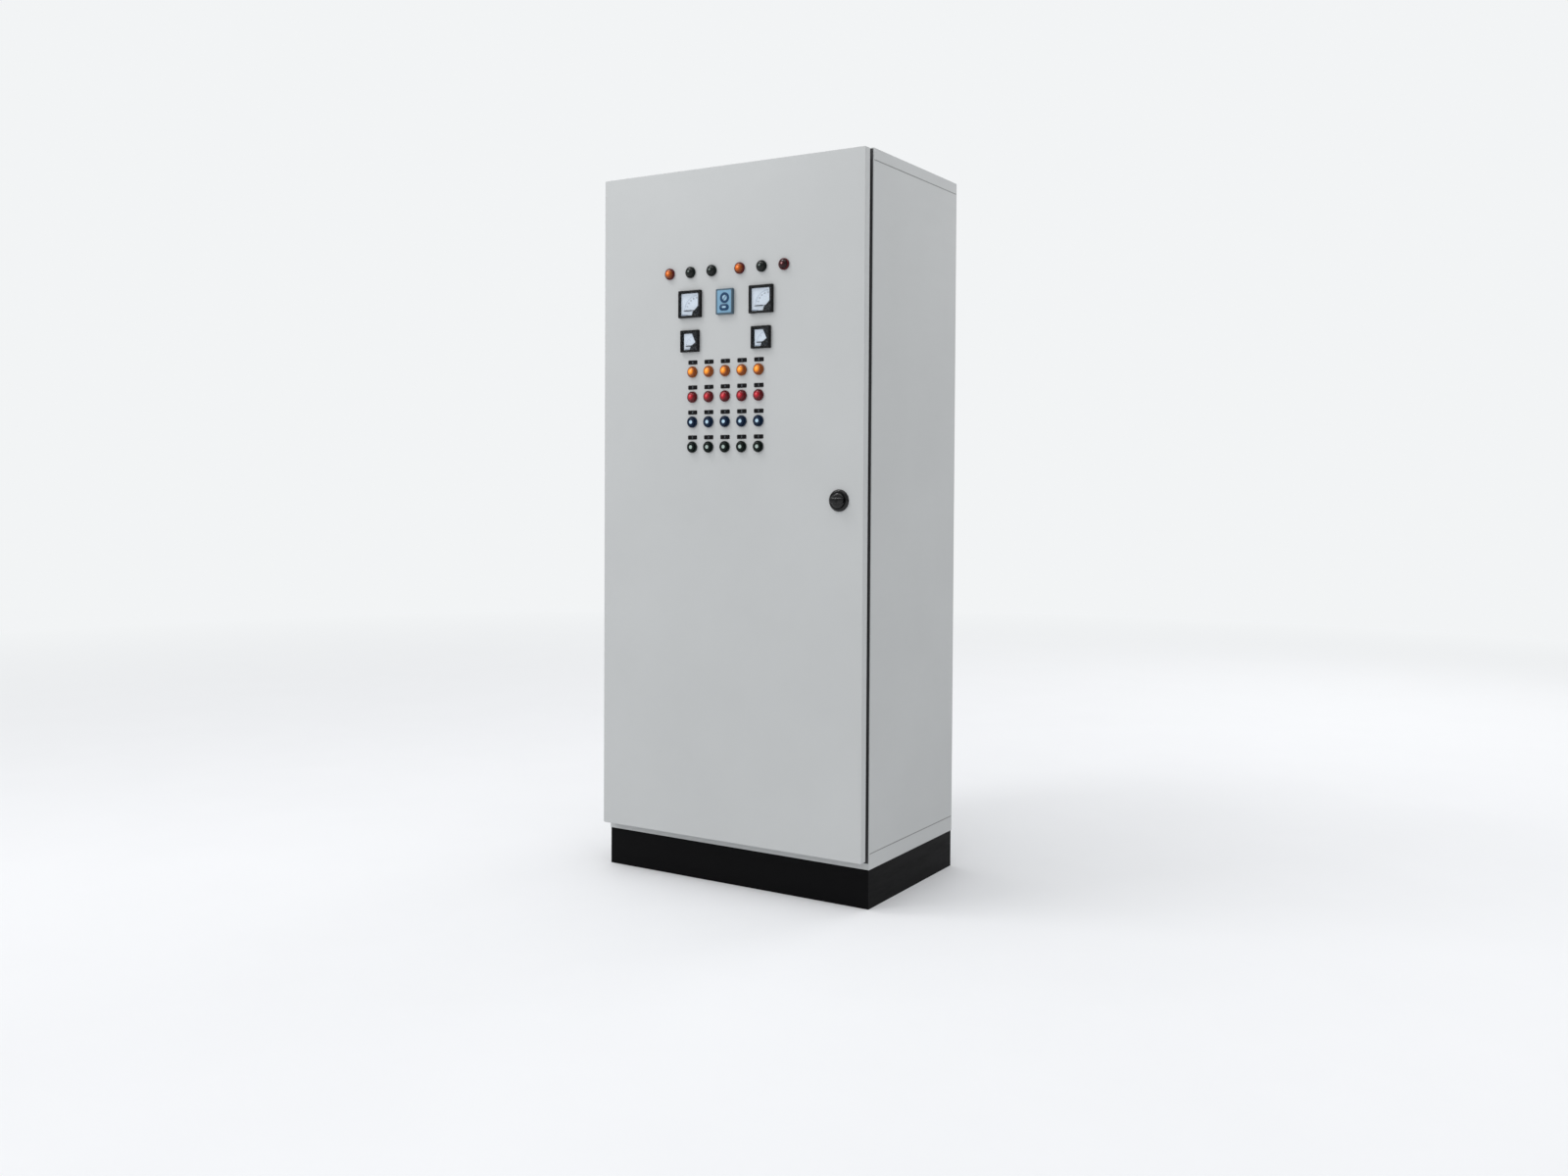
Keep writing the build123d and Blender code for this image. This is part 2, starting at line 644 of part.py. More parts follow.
# ---- Hinges ----
def hinge_brackets():
    """Body half of each hinge: a plate with two knuckles, and the pin."""
    brackets = []
    half = HINGE_H / 2
    inner = LEAF_BARREL_H / 2 + KNUCKLE_GAP
    pin_bore = disc(PIN_R + PIN_CLEAR, -half, half)
    for z in HINGE_ZS:
        reach = HINGE_STANDOFF
        plate_x = BARREL_R - KNUCKLE_LAP
        plate = block(plate_x, plate_x + BRACKET_W, reach - SHEET, reach, -half, half)
        for low, high in ((-half, -inner), (inner, half)):
            plate += disc(BARREL_R, low, high)
            plate += block(0, BARREL_R + KNUCKLE_LAP, 0, reach, low, high)
        pin = disc(PIN_R, -half, half) + disc(PIN_HEAD_R, half, half + PIN_HEAD_H)
        brackets += [Pos(HINGE_X, HINGE_Y, z) * piece for piece in (plate - pin_bore, pin)]
    return brackets


def hinge_leaves():
    """Door half of each hinge: a plate on the tray's inner side with one knuckle."""
    half = HINGE_H / 2
    barrel_half = LEAF_BARREL_H / 2
    x0 = DOOR_SHEET - DOOR_X
    leaves = []
    for z in HINGE_ZS:
        leaf = block(x0, x0 + LEAF_T, DOOR_INNER, DOOR_BACK, z - half, z + half)
        leaf += block(x0, x0 + LEAF_T, DOOR_BACK, HINGE_Y, z - barrel_half, z + barrel_half)
        leaf += Pos(HINGE_X, HINGE_Y, z) * disc(BARREL_R, -barrel_half, barrel_half)
        leaf -= Pos(HINGE_X, HINGE_Y, z) * disc(PIN_R + PIN_CLEAR, -barrel_half, barrel_half)
        leaves.append(leaf)
    return leaves


# ---- Door ----
def door_leaf():
    """The door: a folded tray with the cut-outs of every device."""
    outer = block(-DOOR_X, DOOR_X, DOOR_FACE, DOOR_BACK, DOOR_Z0, DOOR_Z1)
    outer = fillet(outer.edges().filter_by(Axis.Y), DOOR_CORNER_R)
    outer = fillet(outer.faces().sort_by(Axis.Y)[0].edges(), PANEL_BEND)
    inner_x = DOOR_X - DOOR_SHEET
    tray = outer - block(
        -inner_x, inner_x, DOOR_INNER, DOOR_BACK, DOOR_Z0 + DOOR_SHEET, DOOR_Z1 - DOOR_SHEET
    )
    hole = disc(PANEL_HOLE_R, -DOOR_SHEET, 0)
    cuts = [on_door(x, z, hole) for x, z in DEVICE_PLACES + [(LOCK_X, LOCK_Z)]]
    for meter in METERS:
        window = Pos(0, 0, -DOOR_SHEET / 2) * Box(meter.cutout, meter.cutout, DOOR_SHEET)
        cuts.append(on_door(meter.x, meter.z, window))
    width = CONTROLLER_W - 2 * METER_STEP
    height = CONTROLLER_H - 2 * METER_STEP
    cuts.append(on_door(PANEL_X, BIG_Z, Pos(0, 0, -DOOR_SHEET / 2) * Box(width, height, DOOR_SHEET)))
    return [tray - cuts]


def door_gasket():
    """The foamed gasket, one closed ring on the door's inner face over the body's rim."""
    margin = GASKET_W / 2
    mid_x = OPEN_X + SHEET / 2
    z0 = OPEN_Z0 - SHEET / 2 - margin
    z1 = OPEN_Z1 + SHEET / 2 + margin
    return [frame_xz(mid_x + margin, z0, z1, GASKET_W, DOOR_INNER, RIM_FRONT)]


def ladder(shrink):
    """The ladder of door stiffeners, every face moved in by the given amount."""
    left = STIFFENER_EDGE - DOOR_X
    right = STIFFENER_LOCK_X
    z0 = DOOR_Z0 + STIFFENER_ENDS
    z1 = DOOR_Z1 - STIFFENER_ENDS
    half = STIFFENER_W / 2 - shrink
    depth = DOOR_INNER + STIFFENER_D - shrink
    shape = block(left - half, left + half, DOOR_INNER, depth, z0 + shrink, z1 - shrink)
    shape += block(right - half, right + half, DOOR_INNER, depth, z0 + shrink, z1 - shrink)
    lowest_row = MATRIX_Z - START_ROW * ROW_PITCH
    for z in (DOOR_Z1 - CROSS_FROM_TOP, lowest_row - CROSS_BELOW_PANEL, DOOR_Z0 + CROSS_FROM_FOOT):
        shape += block(left, right, DOOR_INNER, depth, z - half, z + half)
    return shape


def door_stiffeners():
    """Two uprights and three cross members, open towards the door's sheet."""
    return [ladder(0) - ladder(STIFFENER_WALL)]


# ---- Lock ----
def lock_rosette():
    """The round plate around the lock's spindle."""
    plate = disc(ROSETTE_R, 0, ROSETTE_H)
    plate = chamfer(plate.faces().sort_by(Axis.Z)[-1].edges(), ROSETTE_CHAMFER)
    return [on_door(LOCK_X, LOCK_Z, plate - disc(SPINDLE_R + ROSETTE_CLEAR, 0, ROSETTE_H))]


def lock_knob():
    """The turning knob: a disc with a wing that lies level when the door is unlocked."""
    low = ROSETTE_H + KNOB_LIFT
    wing = round_block(WING_L, WING_W, WING_W / 2 - WING_END_FLAT, low, low + WING_H)
    wing = fillet(wing.faces().sort_by(Axis.Z)[-1].edges(), WING_EDGE_R)
    knob = wing + disc(KNOB_R, low, low + KNOB_DISC_H)
    bore = disc(SPINDLE_R + SPINDLE_CLEAR, low, low + SPINDLE_IN_KNOB)
    return [on_door(LOCK_X, LOCK_Z, knob - bore)]


def pinion():
    """The spindle's gear, with a tooth space on each side where the rods mesh."""
    pressure = math.radians(GEAR_PRESSURE)
    base_r = PITCH_R * math.cos(pressure)
    tip_r = PITCH_R + GEAR_ADDENDUM
    root_r = PITCH_R - GEAR_DEDENDUM
    half_pitch_angle = (math.pi * GEAR_MODULE / 2 - GEAR_BACKLASH) / (2 * PITCH_R)

    def half_angle(radius):
        """Half the tooth's angle at a radius, on an involute flank."""
        turn = math.acos(min(1.0, base_r / radius))
        return half_pitch_angle + math.tan(pressure) - pressure - (math.tan(turn) - turn)

    flank = [(root_r, half_angle(base_r))]
    for i in range(FLANK_STEPS + 1):
        radius = base_r + (tip_r - base_r) * i / FLANK_STEPS
        flank.append((radius, half_angle(radius)))
    outline = []
    for tooth in range(GEAR_TEETH):
        middle = (tooth + 0.5) * 2 * math.pi / GEAR_TEETH
        rising = [(radius, middle - angle) for radius, angle in flank]
        falling = [(radius, middle + angle) for radius, angle in reversed(flank)]
        outline += [(r * math.cos(a), r * math.sin(a)) for r, a in rising + falling]
    return extrude(make_face(Polyline(*outline, close=True)), GEAR_W)


def lock_spindle():
    """The spindle with its pinion and the stub that turns in the lock case's cover."""
    out = ROSETTE_H + KNOB_LIFT + SPINDLE_IN_KNOB
    gear_z = DOOR_FACE - ROD_MID_Y - GEAR_W / 2
    shaft = disc(SPINDLE_R, gear_z, out) + Pos(0, 0, gear_z) * pinion()
    end = DOOR_FACE - LOCK_CASE_BACK - LOCK_CASE_WALL
    shaft += disc(STUB_R, end, gear_z)
    return [on_door(LOCK_X, LOCK_Z, shaft)]


def rack(side, first, last):
    """Rack teeth on one side of the pinion, as a flat shape seen from the front."""
    pitch = math.pi * GEAR_MODULE
    slope = math.tan(math.radians(GEAR_PRESSURE))
    half = (pitch / 2 - GEAR_BACKLASH) / 2
    tip = PITCH_R - GEAR_ADDENDUM
    root = ROD_ROOT
    deep = ROD_ROOT + RACK_LAP
    teeth = []
    for k in range(first, last + 1):
        z = k * pitch
        wide = half + GEAR_DEDENDUM * slope
        narrow = half - GEAR_ADDENDUM * slope
        points = [
            (side * deep, z - wide),
            (side * root, z - wide),
            (side * tip, z - narrow),
            (side * tip, z + narrow),
            (side * root, z + wide),
            (side * deep, z + wide),
        ]
        teeth.append(Pos(0, 0, ROD_T / 2) * extrude(make_face(Polyline(*points, close=True)), -ROD_T))
    return teeth


def lock_rod(side, up):
    """A flat rod with a rack: it lies on one side of the pinion and runs up or down."""
    pitch = math.pi * GEAR_MODULE
    moved = math.ceil(ROD_TRAVEL / pitch) + 1
    first, last = (-moved, 1) if up > 0 else (-1, moved)
    x = LOCK_X + side * (ROD_ROOT + ROD_W / 2)
    near = LOCK_Z - up * (ROD_TRAVEL + ROD_SPARE)
    far = ROD_TOP if up > 0 else ROD_BOTTOM
    y = (ROD_MID_Y - ROD_T / 2, ROD_MID_Y + ROD_T / 2)
    bar = block(x - ROD_W / 2, x + ROD_W / 2, *y, min(near, far), max(near, far))
    place = Pos(LOCK_X, ROD_MID_Y, LOCK_Z) * Rot(90, 0, 0)
    for tooth in rack(side, first, last):
        bar += place * tooth
    return [bar]


def lock_case():
    """The lock's housing and its cover, behind the door. The rods leave through its ends."""
    x = LOCK_CASE_X
    z = LOCK_CASE_HALF_H
    wall = LOCK_CASE_WALL
    case = block(LOCK_X - x, LOCK_X + x, DOOR_INNER, LOCK_CASE_BACK, LOCK_Z - z, LOCK_Z + z)
    case -= block(
        LOCK_X - x + wall, LOCK_X + x - wall, DOOR_INNER + wall, LOCK_CASE_BACK,
        LOCK_Z - z + wall, LOCK_Z + z - wall,
    )
    case -= on_door(LOCK_X, LOCK_Z, disc(SPINDLE_R + SPINDLE_CLEAR, -DOOR_SHEET - wall, 0))
    case -= rod_slot(UPPER_ROD_X, LOCK_Z + z - wall, LOCK_Z + z)
    case -= rod_slot(LOWER_ROD_X, LOCK_Z - z, LOCK_Z - z + wall)
    cover = block(
        LOCK_X - x, LOCK_X + x, LOCK_CASE_BACK, LOCK_CASE_BACK + wall, LOCK_Z - z, LOCK_Z + z
    )
    depth = DOOR_FACE - LOCK_CASE_BACK
    cover -= on_door(LOCK_X, LOCK_Z, disc(STUB_R + SPINDLE_CLEAR, depth - wall, depth))
    return [case, cover]


def rod_slot(x, z0, z1):
    """The passage of a rod, with its sliding clearance all round."""
    half_w = ROD_W / 2 + ROD_CLEAR
    half_t = ROD_T / 2 + ROD_CLEAR
    return block(x - half_w, x + half_w, ROD_MID_Y - half_t, ROD_MID_Y + half_t, z0, z1)


def rod_guides():
    """Blocks on the door's inner face that guide the rods, two on each."""
    guides = []
    upper = [(UPPER_ROD_X, LOCK_Z + GUIDE_FROM_LOCK), (UPPER_ROD_X, ROD_TOP - GUIDE_FROM_END)]
    lower = [(LOWER_ROD_X, LOCK_Z - GUIDE_FROM_LOCK), (LOWER_ROD_X, ROD_BOTTOM + GUIDE_FROM_END)]
    half = GUIDE_H / 2
    for x, z in upper + lower:
        reach = ROD_W / 2 + GUIDE_WALL
        back = ROD_MID_Y + ROD_T / 2 + GUIDE_WALL
        guide = block(x - reach, x + reach, DOOR_INNER, back, z - half, z + half)
        guides.append(guide - rod_slot(x, z - half, z + half))
    return guides


def rod_keepers():
    """Angles inside the rim that the ends of the rods slide behind."""
    keepers = []
    for x, edge, up in ((UPPER_ROD_X, OPEN_Z1, 1), (LOWER_ROD_X, OPEN_Z0, -1)):
        front = ROD_MID_Y - ROD_T / 2 - KEEPER_AIR - KEEPER_T
        half = KEEPER_W / 2
        keeper = block(x - half, x + half, front, front + KEEPER_T, edge, edge - up * KEEPER_DROP)
        keeper += block(x - half, x + half, front, front + KEEPER_FOOT_L, edge, edge - up * KEEPER_FOOT_T)
        keepers.append(keeper)
    return keepers


# ---- Lamps, push buttons and labels ----
def device_bezels():
    """The round bezels with their threaded necks, one for each lamp and push button."""
    bezel = tube(BEZEL_R, BEZEL_SEAT_R, 0, BEZEL_H) + tube(BEZEL_R, NECK_BORE_R, 0, BEZEL_SHELF_H)
    bezel = chamfer(bezel.faces().sort_by(Axis.Z)[-1].edges(), BEZEL_CHAMFER)
    bezel += tube(NECK_R, NECK_BORE_R, -NECK_L, 0)
    return [on_door(x, z, bezel) for x, z in DEVICE_PLACES]


def lenses(places):
    """Domed lamp lenses that sit on the shelf inside the bezel."""
    lens = domed_disc(LENS_R, BEZEL_SHELF_H, BEZEL_SHELF_H + LENS_EDGE_H, LENS_RISE)
    return [on_door(x, z, lens) for x, z in places]


def contact_blocks():
    """The lamp holders and contact blocks behind the door, each with its fixing collar."""
    collar = tube(COLLAR_R, NECK_R + COLLAR_CLEAR, -NECK_L, -DOOR_SHEET)
    body = collar + Pos(0, 0, -NECK_L - BLOCK_D / 2) * Box(BLOCK_W, BLOCK_H, BLOCK_D)
    return [on_door(x, z, body) for x, z in DEVICE_PLACES]


def push_button(place):
    """One push button: its cap, with a shallow dimple, and the stem that slides in the neck."""
    cap = disc(BUTTON_R, BUTTON_FACE - BUTTON_CAP_H, BUTTON_FACE)
    cap = fillet(cap.faces().sort_by(Axis.Z)[-1].edges(), BUTTON_EDGE_R)
    cap -= disc(BUTTON_DIMPLE_R, BUTTON_FACE - BUTTON_DIMPLE_H, BUTTON_FACE)
    stem_end = BUTTON_TRAVEL + STEM_END_AIR - NECK_L
    stem = disc(NECK_BORE_R - BUTTON_SIDE_CLEAR, stem_end, BUTTON_FACE - BUTTON_CAP_H)
    return [on_door(*place, cap + stem)]


def label_plates():
    """The small plates above each device of the matrix."""
    plate = Pos(0, 0, LABEL_T / 2) * Box(LABEL_W, LABEL_H, LABEL_T)
    return [on_door(x, z + LABEL_RISE, plate) for x, z in MATRIX_PLACES]


# ---- Meters and controller ----
def meter_case(meter):
    """A meter's housing: bezel, body, the well of the dial and the masks over its corners."""
    half = meter.size / 2
    body = meter.cutout / 2 - METER_CLEAR
    case = round_block(meter.size, meter.size, CASE_CORNER_R, 0, METER_BEZEL_H)
    case -= Pos(0, 0, (METER_FLOOR + METER_BEZEL_H) / 2) * Box(
        2 * meter.well, 2 * meter.well, METER_BEZEL_H - METER_FLOOR
    )
    case += Pos(0, 0, -METER_DEPTH / 2) * Box(2 * body, 2 * body, METER_DEPTH)
    for outline in meter.masks:
        case += extrude(Pos(0, 0, MASK_Z) * make_face(Polyline(*outline, close=True)), MASK_T)
    bore = disc(POINTER_SHAFT_R + POINTER_SHAFT_CLEAR, METER_FLOOR - POINTER_SHAFT_DEPTH, METER_FLOOR)
    case -= Pos(*meter.pivot, 0) * bore
    return on_door(meter.x, meter.z, case)


def meter_dial(meter):
    """The white dial plate, flat on the floor of the well."""
    sheet = extrude(Pos(0, 0, METER_FLOOR) * make_face(Polyline(*meter.dial, close=True)), DIAL_T)
    return on_door(meter.x, meter.z, sheet)


def meter_window(meter):
    """The clear pane in front of a dial."""
    side = 2 * meter.well
    return on_door(meter.x, meter.z, Pos(0, 0, PANE_Z + PANE_T / 2) * Box(side, side, PANE_T))


def meter_pointer(meter):
    """A pointer on its shaft, at zero: level, pointing left."""
    end = METER_FLOOR - POINTER_SHAFT_DEPTH + POINTER_END_AIR
    hub = disc(POINTER_HUB_R, POINTER_Z, POINTER_Z + POINTER_T)
    arm = Pos(-meter.reach / 2, 0, POINTER_Z + POINTER_T / 2) * Box(meter.reach, POINTER_W, POINTER_T)
    shaft = disc(POINTER_SHAFT_R, end, POINTER_Z)
    return [on_door(meter.x, meter.z, Pos(*meter.pivot, 0) * (hub + arm + shaft))]


def controller_case():
    """The controller's housing in the middle of the meter row."""
    width = CONTROLLER_W - 2 * METER_STEP - 2 * METER_CLEAR
    height = CONTROLLER_H - 2 * METER_STEP - 2 * METER_CLEAR
    case = round_block(CONTROLLER_W, CONTROLLER_H, CASE_CORNER_R, 0, CONTROLLER_BEZEL_H)
    well = SCREEN_T + SCREEN_SUNK
    case -= Pos(0, 0, CONTROLLER_BEZEL_H - well / 2) * Box(
        CONTROLLER_W - 2 * CONTROLLER_BORDER, CONTROLLER_H - 2 * CONTROLLER_BORDER, well
    )
    case += Pos(0, 0, -CONTROLLER_DEPTH / 2) * Box(width, height, CONTROLLER_DEPTH)
    return [on_door(PANEL_X, BIG_Z, case)]


def controller_screen():
    """The controller's screen, set into its bezel."""
    width = CONTROLLER_W - 2 * CONTROLLER_BORDER
    height = CONTROLLER_H - 2 * CONTROLLER_BORDER
    z = CONTROLLER_BEZEL_H - SCREEN_SUNK - SCREEN_T / 2
    return [on_door(PANEL_X, BIG_Z, Pos(0, 0, z) * Box(width, height, SCREEN_T))]


# ---- Inside ----
def mounting_plate():
    """The galvanised plate, with its long edges folded back onto the frame's lugs."""
    back = PLATE_Y + PLATE_FOLD
    plate = block(-PLATE_X, PLATE_X, PLATE_Y, PLATE_Y + PLATE_T, PLATE_Z0, PLATE_Z1)
    for side in (-1, 1):
        plate += block(side * PLATE_X, side * (PLATE_X - PLATE_T), PLATE_Y, back, PLATE_Z0, PLATE_Z1)
    return [plate]


def duct(x0, x1, z0, z1, upright):
    """One wiring duct, open at the front, and its lid."""
    front = PLATE_Y - DUCT_D
    channel = block(x0, x1, front, PLATE_Y, z0, z1)
    side = DUCT_WALL if upright else 0
    ends = 0 if upright else DUCT_WALL
    channel -= block(x0 + side, x1 - side, front, PLATE_Y - DUCT_WALL, z0 + ends, z1 - ends)
    return [channel, block(x0, x1, front - DUCT_LID_T, front, z0, z1)]


def wiring_ducts():
    """Two upright ducts, and level ducts between them above and below each row."""
    half = DUCT_W / 2
    low = DUCT_ZS[-1] - half
    high = DUCT_ZS[0] + half
    pieces = duct(-DUCT_OUT, -DUCT_IN, low, high, True) + duct(DUCT_IN, DUCT_OUT, low, high, True)
    for z in DUCT_ZS:
        pieces += duct(-DUCT_IN, DUCT_IN, z - half, z + half, False)
    return pieces


def main_breaker():
    """The moulded-case main breaker, with the slot of its lever."""
    front = PLATE_Y - BREAKER_D
    nose = front - BREAKER_NOSE_D
    half_w = BREAKER_W / 2
    body = block(-half_w, half_w, front, PLATE_Y, BREAKER_Z - BREAKER_H / 2, BREAKER_Z + BREAKER_H / 2)
    half_nose = BREAKER_NOSE_H / 2
    body += block(-half_w, half_w, nose, front, BREAKER_Z - half_nose, BREAKER_Z + half_nose)
    half_slot = LEVER_SLOT_H / 2
    slot_x = LEVER_SLOT_W / 2
    body -= block(-slot_x, slot_x, nose, nose + LEVER_SLOT_D, BREAKER_Z - half_slot, BREAKER_Z + half_slot)
    return [body]


def main_breaker_lever():
    """The breaker's lever, switched off: it points down and out of the slot."""
    hub = Rot(0, 90, 0) * disc(LEVER_HUB_R, -LEVER_HUB_L / 2, LEVER_HUB_L / 2)
    arm = Pos(0, -LEVER_L / 2, 0) * Box(LEVER_W, LEVER_L, LEVER_T)
    axis_y = PLATE_Y - BREAKER_D - BREAKER_NOSE_D + LEVER_AXIS_D
    return [Pos(0, axis_y, BREAKER_Z) * Rot(LEVER_REST, 0, 0) * (hub + arm)]


def bus_zs():
    """Heights of the busbars."""
    return [BUS_Z + (i - (BAR_COUNT - 1) / 2) * BAR_PITCH for i in range(BAR_COUNT)]


def busbars():
    """Three flat copper bars that lie in the slots of their supports."""
    x = DUCT_IN - SUPPORT_INSET + BAR_OVERHANG
    back = PLATE_Y - SUPPORT_D + BAR_SEAT
    return [block(-x, x, back - BAR_T, back, z - BAR_W / 2, z + BAR_W / 2) for z in bus_zs()]


def busbar_supports():
    """Insulating combs that hold the busbars off the plate."""
    supports = []
    for side in (-1, 1):
        x = side * (DUCT_IN - SUPPORT_INSET)
        half = SUPPORT_W / 2
        front = PLATE_Y - SUPPORT_D
        comb = block(x - half, x + half, front, PLATE_Y, BUS_Z - BUS_H / 2, BUS_Z + BUS_H / 2)
        for z in bus_zs():
            comb -= block(x - half, x + half, front, front + BAR_SEAT, z - BAR_W / 2, z + BAR_W / 2)
        supports.append(comb)
    return supports


def fuse_poles():
    """X positions of every fuse pole."""
    steps = [(i - (FUSE_POLES - 1) / 2) * FUSE_POLE_PITCH for i in range(FUSE_POLES)]
    return [[x + step for step in steps] for x in feeder_xs()]


def fuse_bases():
    """Three-pole fuse bases with a pair of slotted jaws for each fuse link."""
    bases = []
    front = PLATE_Y - FUSE_BASE_D
    slot = BLADE_T / 2 + BLADE_CLEAR
    for x, poles in zip(feeder_xs(), fuse_poles()):
        half = FUSE_BASE_W / 2
        half_h = FUSE_BASE_H / 2
        base = block(x - half, x + half, front, PLATE_Y, FUSE_Z - half_h, FUSE_Z + half_h)
        for pole in poles:
            for z in (FUSE_Z - JAW_SPACING / 2, FUSE_Z + JAW_SPACING / 2):
                z0 = z - JAW_H / 2
                z1 = z + JAW_H / 2
                base += block(pole - JAW_W / 2, pole + JAW_W / 2, front - JAW_D, front, z0, z1)
                base -= block(pole - slot, pole + slot, front - JAW_D, front, z0, z1)
        bases.append(base)
    return bases


def fuse_links():
    """Fuse links: a square body with a blade at each end, seated in the jaws."""
    links = []
    front = PLATE_Y - FUSE_BASE_D
    reach = JAW_SPACING / 2 + JAW_H / 2
    for pole in sum(fuse_poles(), []):
        half = LINK_W / 2
        half_h = LINK_H / 2
        half_t = BLADE_T / 2
        link = block(pole - half, pole + half, front - LINK_D, front, FUSE_Z - half_h, FUSE_Z + half_h)
        link += block(pole - half_t, pole + half_t, front - BLADE_D, front, FUSE_Z - reach, FUSE_Z + reach)
        links.append(link)
    return links


def din_rails():
    """Top-hat rails for the contactors and for the terminals."""
    rails = []
    half = RAIL_H / 2
    crown = RAIL_CROWN / 2
    front = PLATE_Y - RAIL_D
    for z in (CONTACTOR_Z, TERMINAL_Z):
        rail = block(-DUCT_IN, DUCT_IN, PLATE_Y - RAIL_WALL, PLATE_Y, z - crown, z + crown)
        for side in (-1, 1):
            edge = z + side * crown
            rail += block(-DUCT_IN, DUCT_IN, front, PLATE_Y, edge - side * RAIL_WALL, edge)
            lip = (edge - side * RAIL_WALL, z + side * half)
            rail += block(-DUCT_IN, DUCT_IN, front, front + RAIL_WALL, *lip)
        rails.append(rail)
    return rails


def contactors():
    """Motor contactors, clipped to the upper rail."""
    back = PLATE_Y - RAIL_D
    front = back - CONTACTOR_D
    pieces = []
    for x in feeder_xs():
        half = CONTACTOR_W / 2
        half_h = CONTACTOR_H / 2
        body = block(x - half, x + half, front, back, CONTACTOR_Z - half_h, CONTACTOR_Z + half_h)
        nose = CONTACTOR_NOSE_H / 2
        tip = front - CONTACTOR_NOSE_D
        body += block(x - half, x + half, tip, front, CONTACTOR_Z - nose, CONTACTOR_Z + nose)
        pieces.append(body)
    return pieces


def overload_relays():
    """Overload relays that hang from the contactors."""
    back = PLATE_Y - RAIL_D
    half = CONTACTOR_W / 2
    z0 = RELAY_Z - RELAY_H / 2
    z1 = RELAY_Z + RELAY_H / 2
    return [block(x - half, x + half, back - RELAY_D, back, z0, z1) for x in feeder_xs()]


def terminal_blocks():
    """A row of rail-mounted terminals, side by side."""
    back = PLATE_Y - RAIL_D
    x0 = -TERMINALS * TERMINAL_W / 2
    z0 = TERMINAL_Z - TERMINAL_H / 2
    z1 = TERMINAL_Z + TERMINAL_H / 2
    edges = [x0 + i * TERMINAL_W for i in range(TERMINALS)]
    return [block(x, x + TERMINAL_W, back - TERMINAL_D, back, z0, z1) for x in edges]


# ---- Every node of the cabinet ----
NODES = {
    "plinth": plinth(),
    "frame_skeleton": frame_skeleton(),
    "gland_plates": gland_plates(),
    "cable_glands": cable_glands(),
    "front_frame": front_frame(),
    "roof_panel": roof_panel(),
    "side_panel_left": side_panel(-1),
    "side_panel_right": side_panel(1),
    "rear_panel": rear_panel(),
    "panel_screws": panel_screws(),
    "hinge_brackets": hinge_brackets(),
    "rod_keepers": rod_keepers(),
    "mounting_plate": mounting_plate(),
    "wiring_ducts": wiring_ducts(),
    "din_rails": din_rails(),
    "main_breaker": main_breaker(),
    "main_breaker_lever": main_breaker_lever(),
    "busbars": busbars(),
    "busbar_supports": busbar_supports(),
    "fuse_bases": fuse_bases(),
    "fuse_links": fuse_links(),
    "contactors": contactors(),
    "overload_relays": overload_relays(),
    "terminal_blocks": terminal_blocks(),
    "door_leaf": door_leaf(),
    "door_gasket": door_gasket(),
    "door_stiffeners": door_stiffeners(),
    "hinge_leaves": hinge_leaves(),
    "lock_rosette": lock_rosette(),
    "lock_knob": lock_knob(),
    "lock_spindle": lock_spindle(),
    "lock_case": lock_case(),
    "upper_lock_rod": lock_rod(-1, 1),
    "lower_lock_rod": lock_rod(1, -1),
    "rod_guides": rod_guides(),
    "meter_cases": [meter_case(meter) for meter in METERS],
    "meter_dials": [meter_dial(meter) for meter in METERS],
    "meter_windows": [meter_window(meter) for meter in METERS],
    "controller_case": controller_case(),
    "controller_screen": controller_screen(),
    "device_bezels": device_bezels(),
    "amber_lenses": lenses(AMBER_PLACES),
    "red_lenses": lenses(RED_PLACES),
    "green_lenses": lenses(GREEN_PLACES),
    "contact_blocks": contact_blocks(),
    "label_plates": label_plates(),
}
for number, meter in enumerate(METERS, 1):
    NODES[f"meter_pointer_{number}"] = meter_pointer(meter)
for number, place in enumerate(matrix_row(RESET_ROW), 1):
    NODES[f"reset_button_{number}"] = push_button(place)
for number, place in enumerate(matrix_row(START_ROW), 1):
    NODES[f"start_button_{number}"] = push_button(place)

os.makedirs("parts", exist_ok=True)
for name, pieces in NODES.items():
    solids = [solid for piece in pieces for solid in piece.solids()]
    export_step(Compound(children=solids), f"parts/{name}.step")
    print(f"{name}: {len(solids)} solids")
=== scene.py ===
"""Dresses and details a floor-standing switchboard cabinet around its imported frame."""

import json
import logging
import math
from collections.abc import Iterable, Sequence
from dataclasses import dataclass
from enum import Enum

import bmesh
import bpy
from mathutils import Matrix, Vector


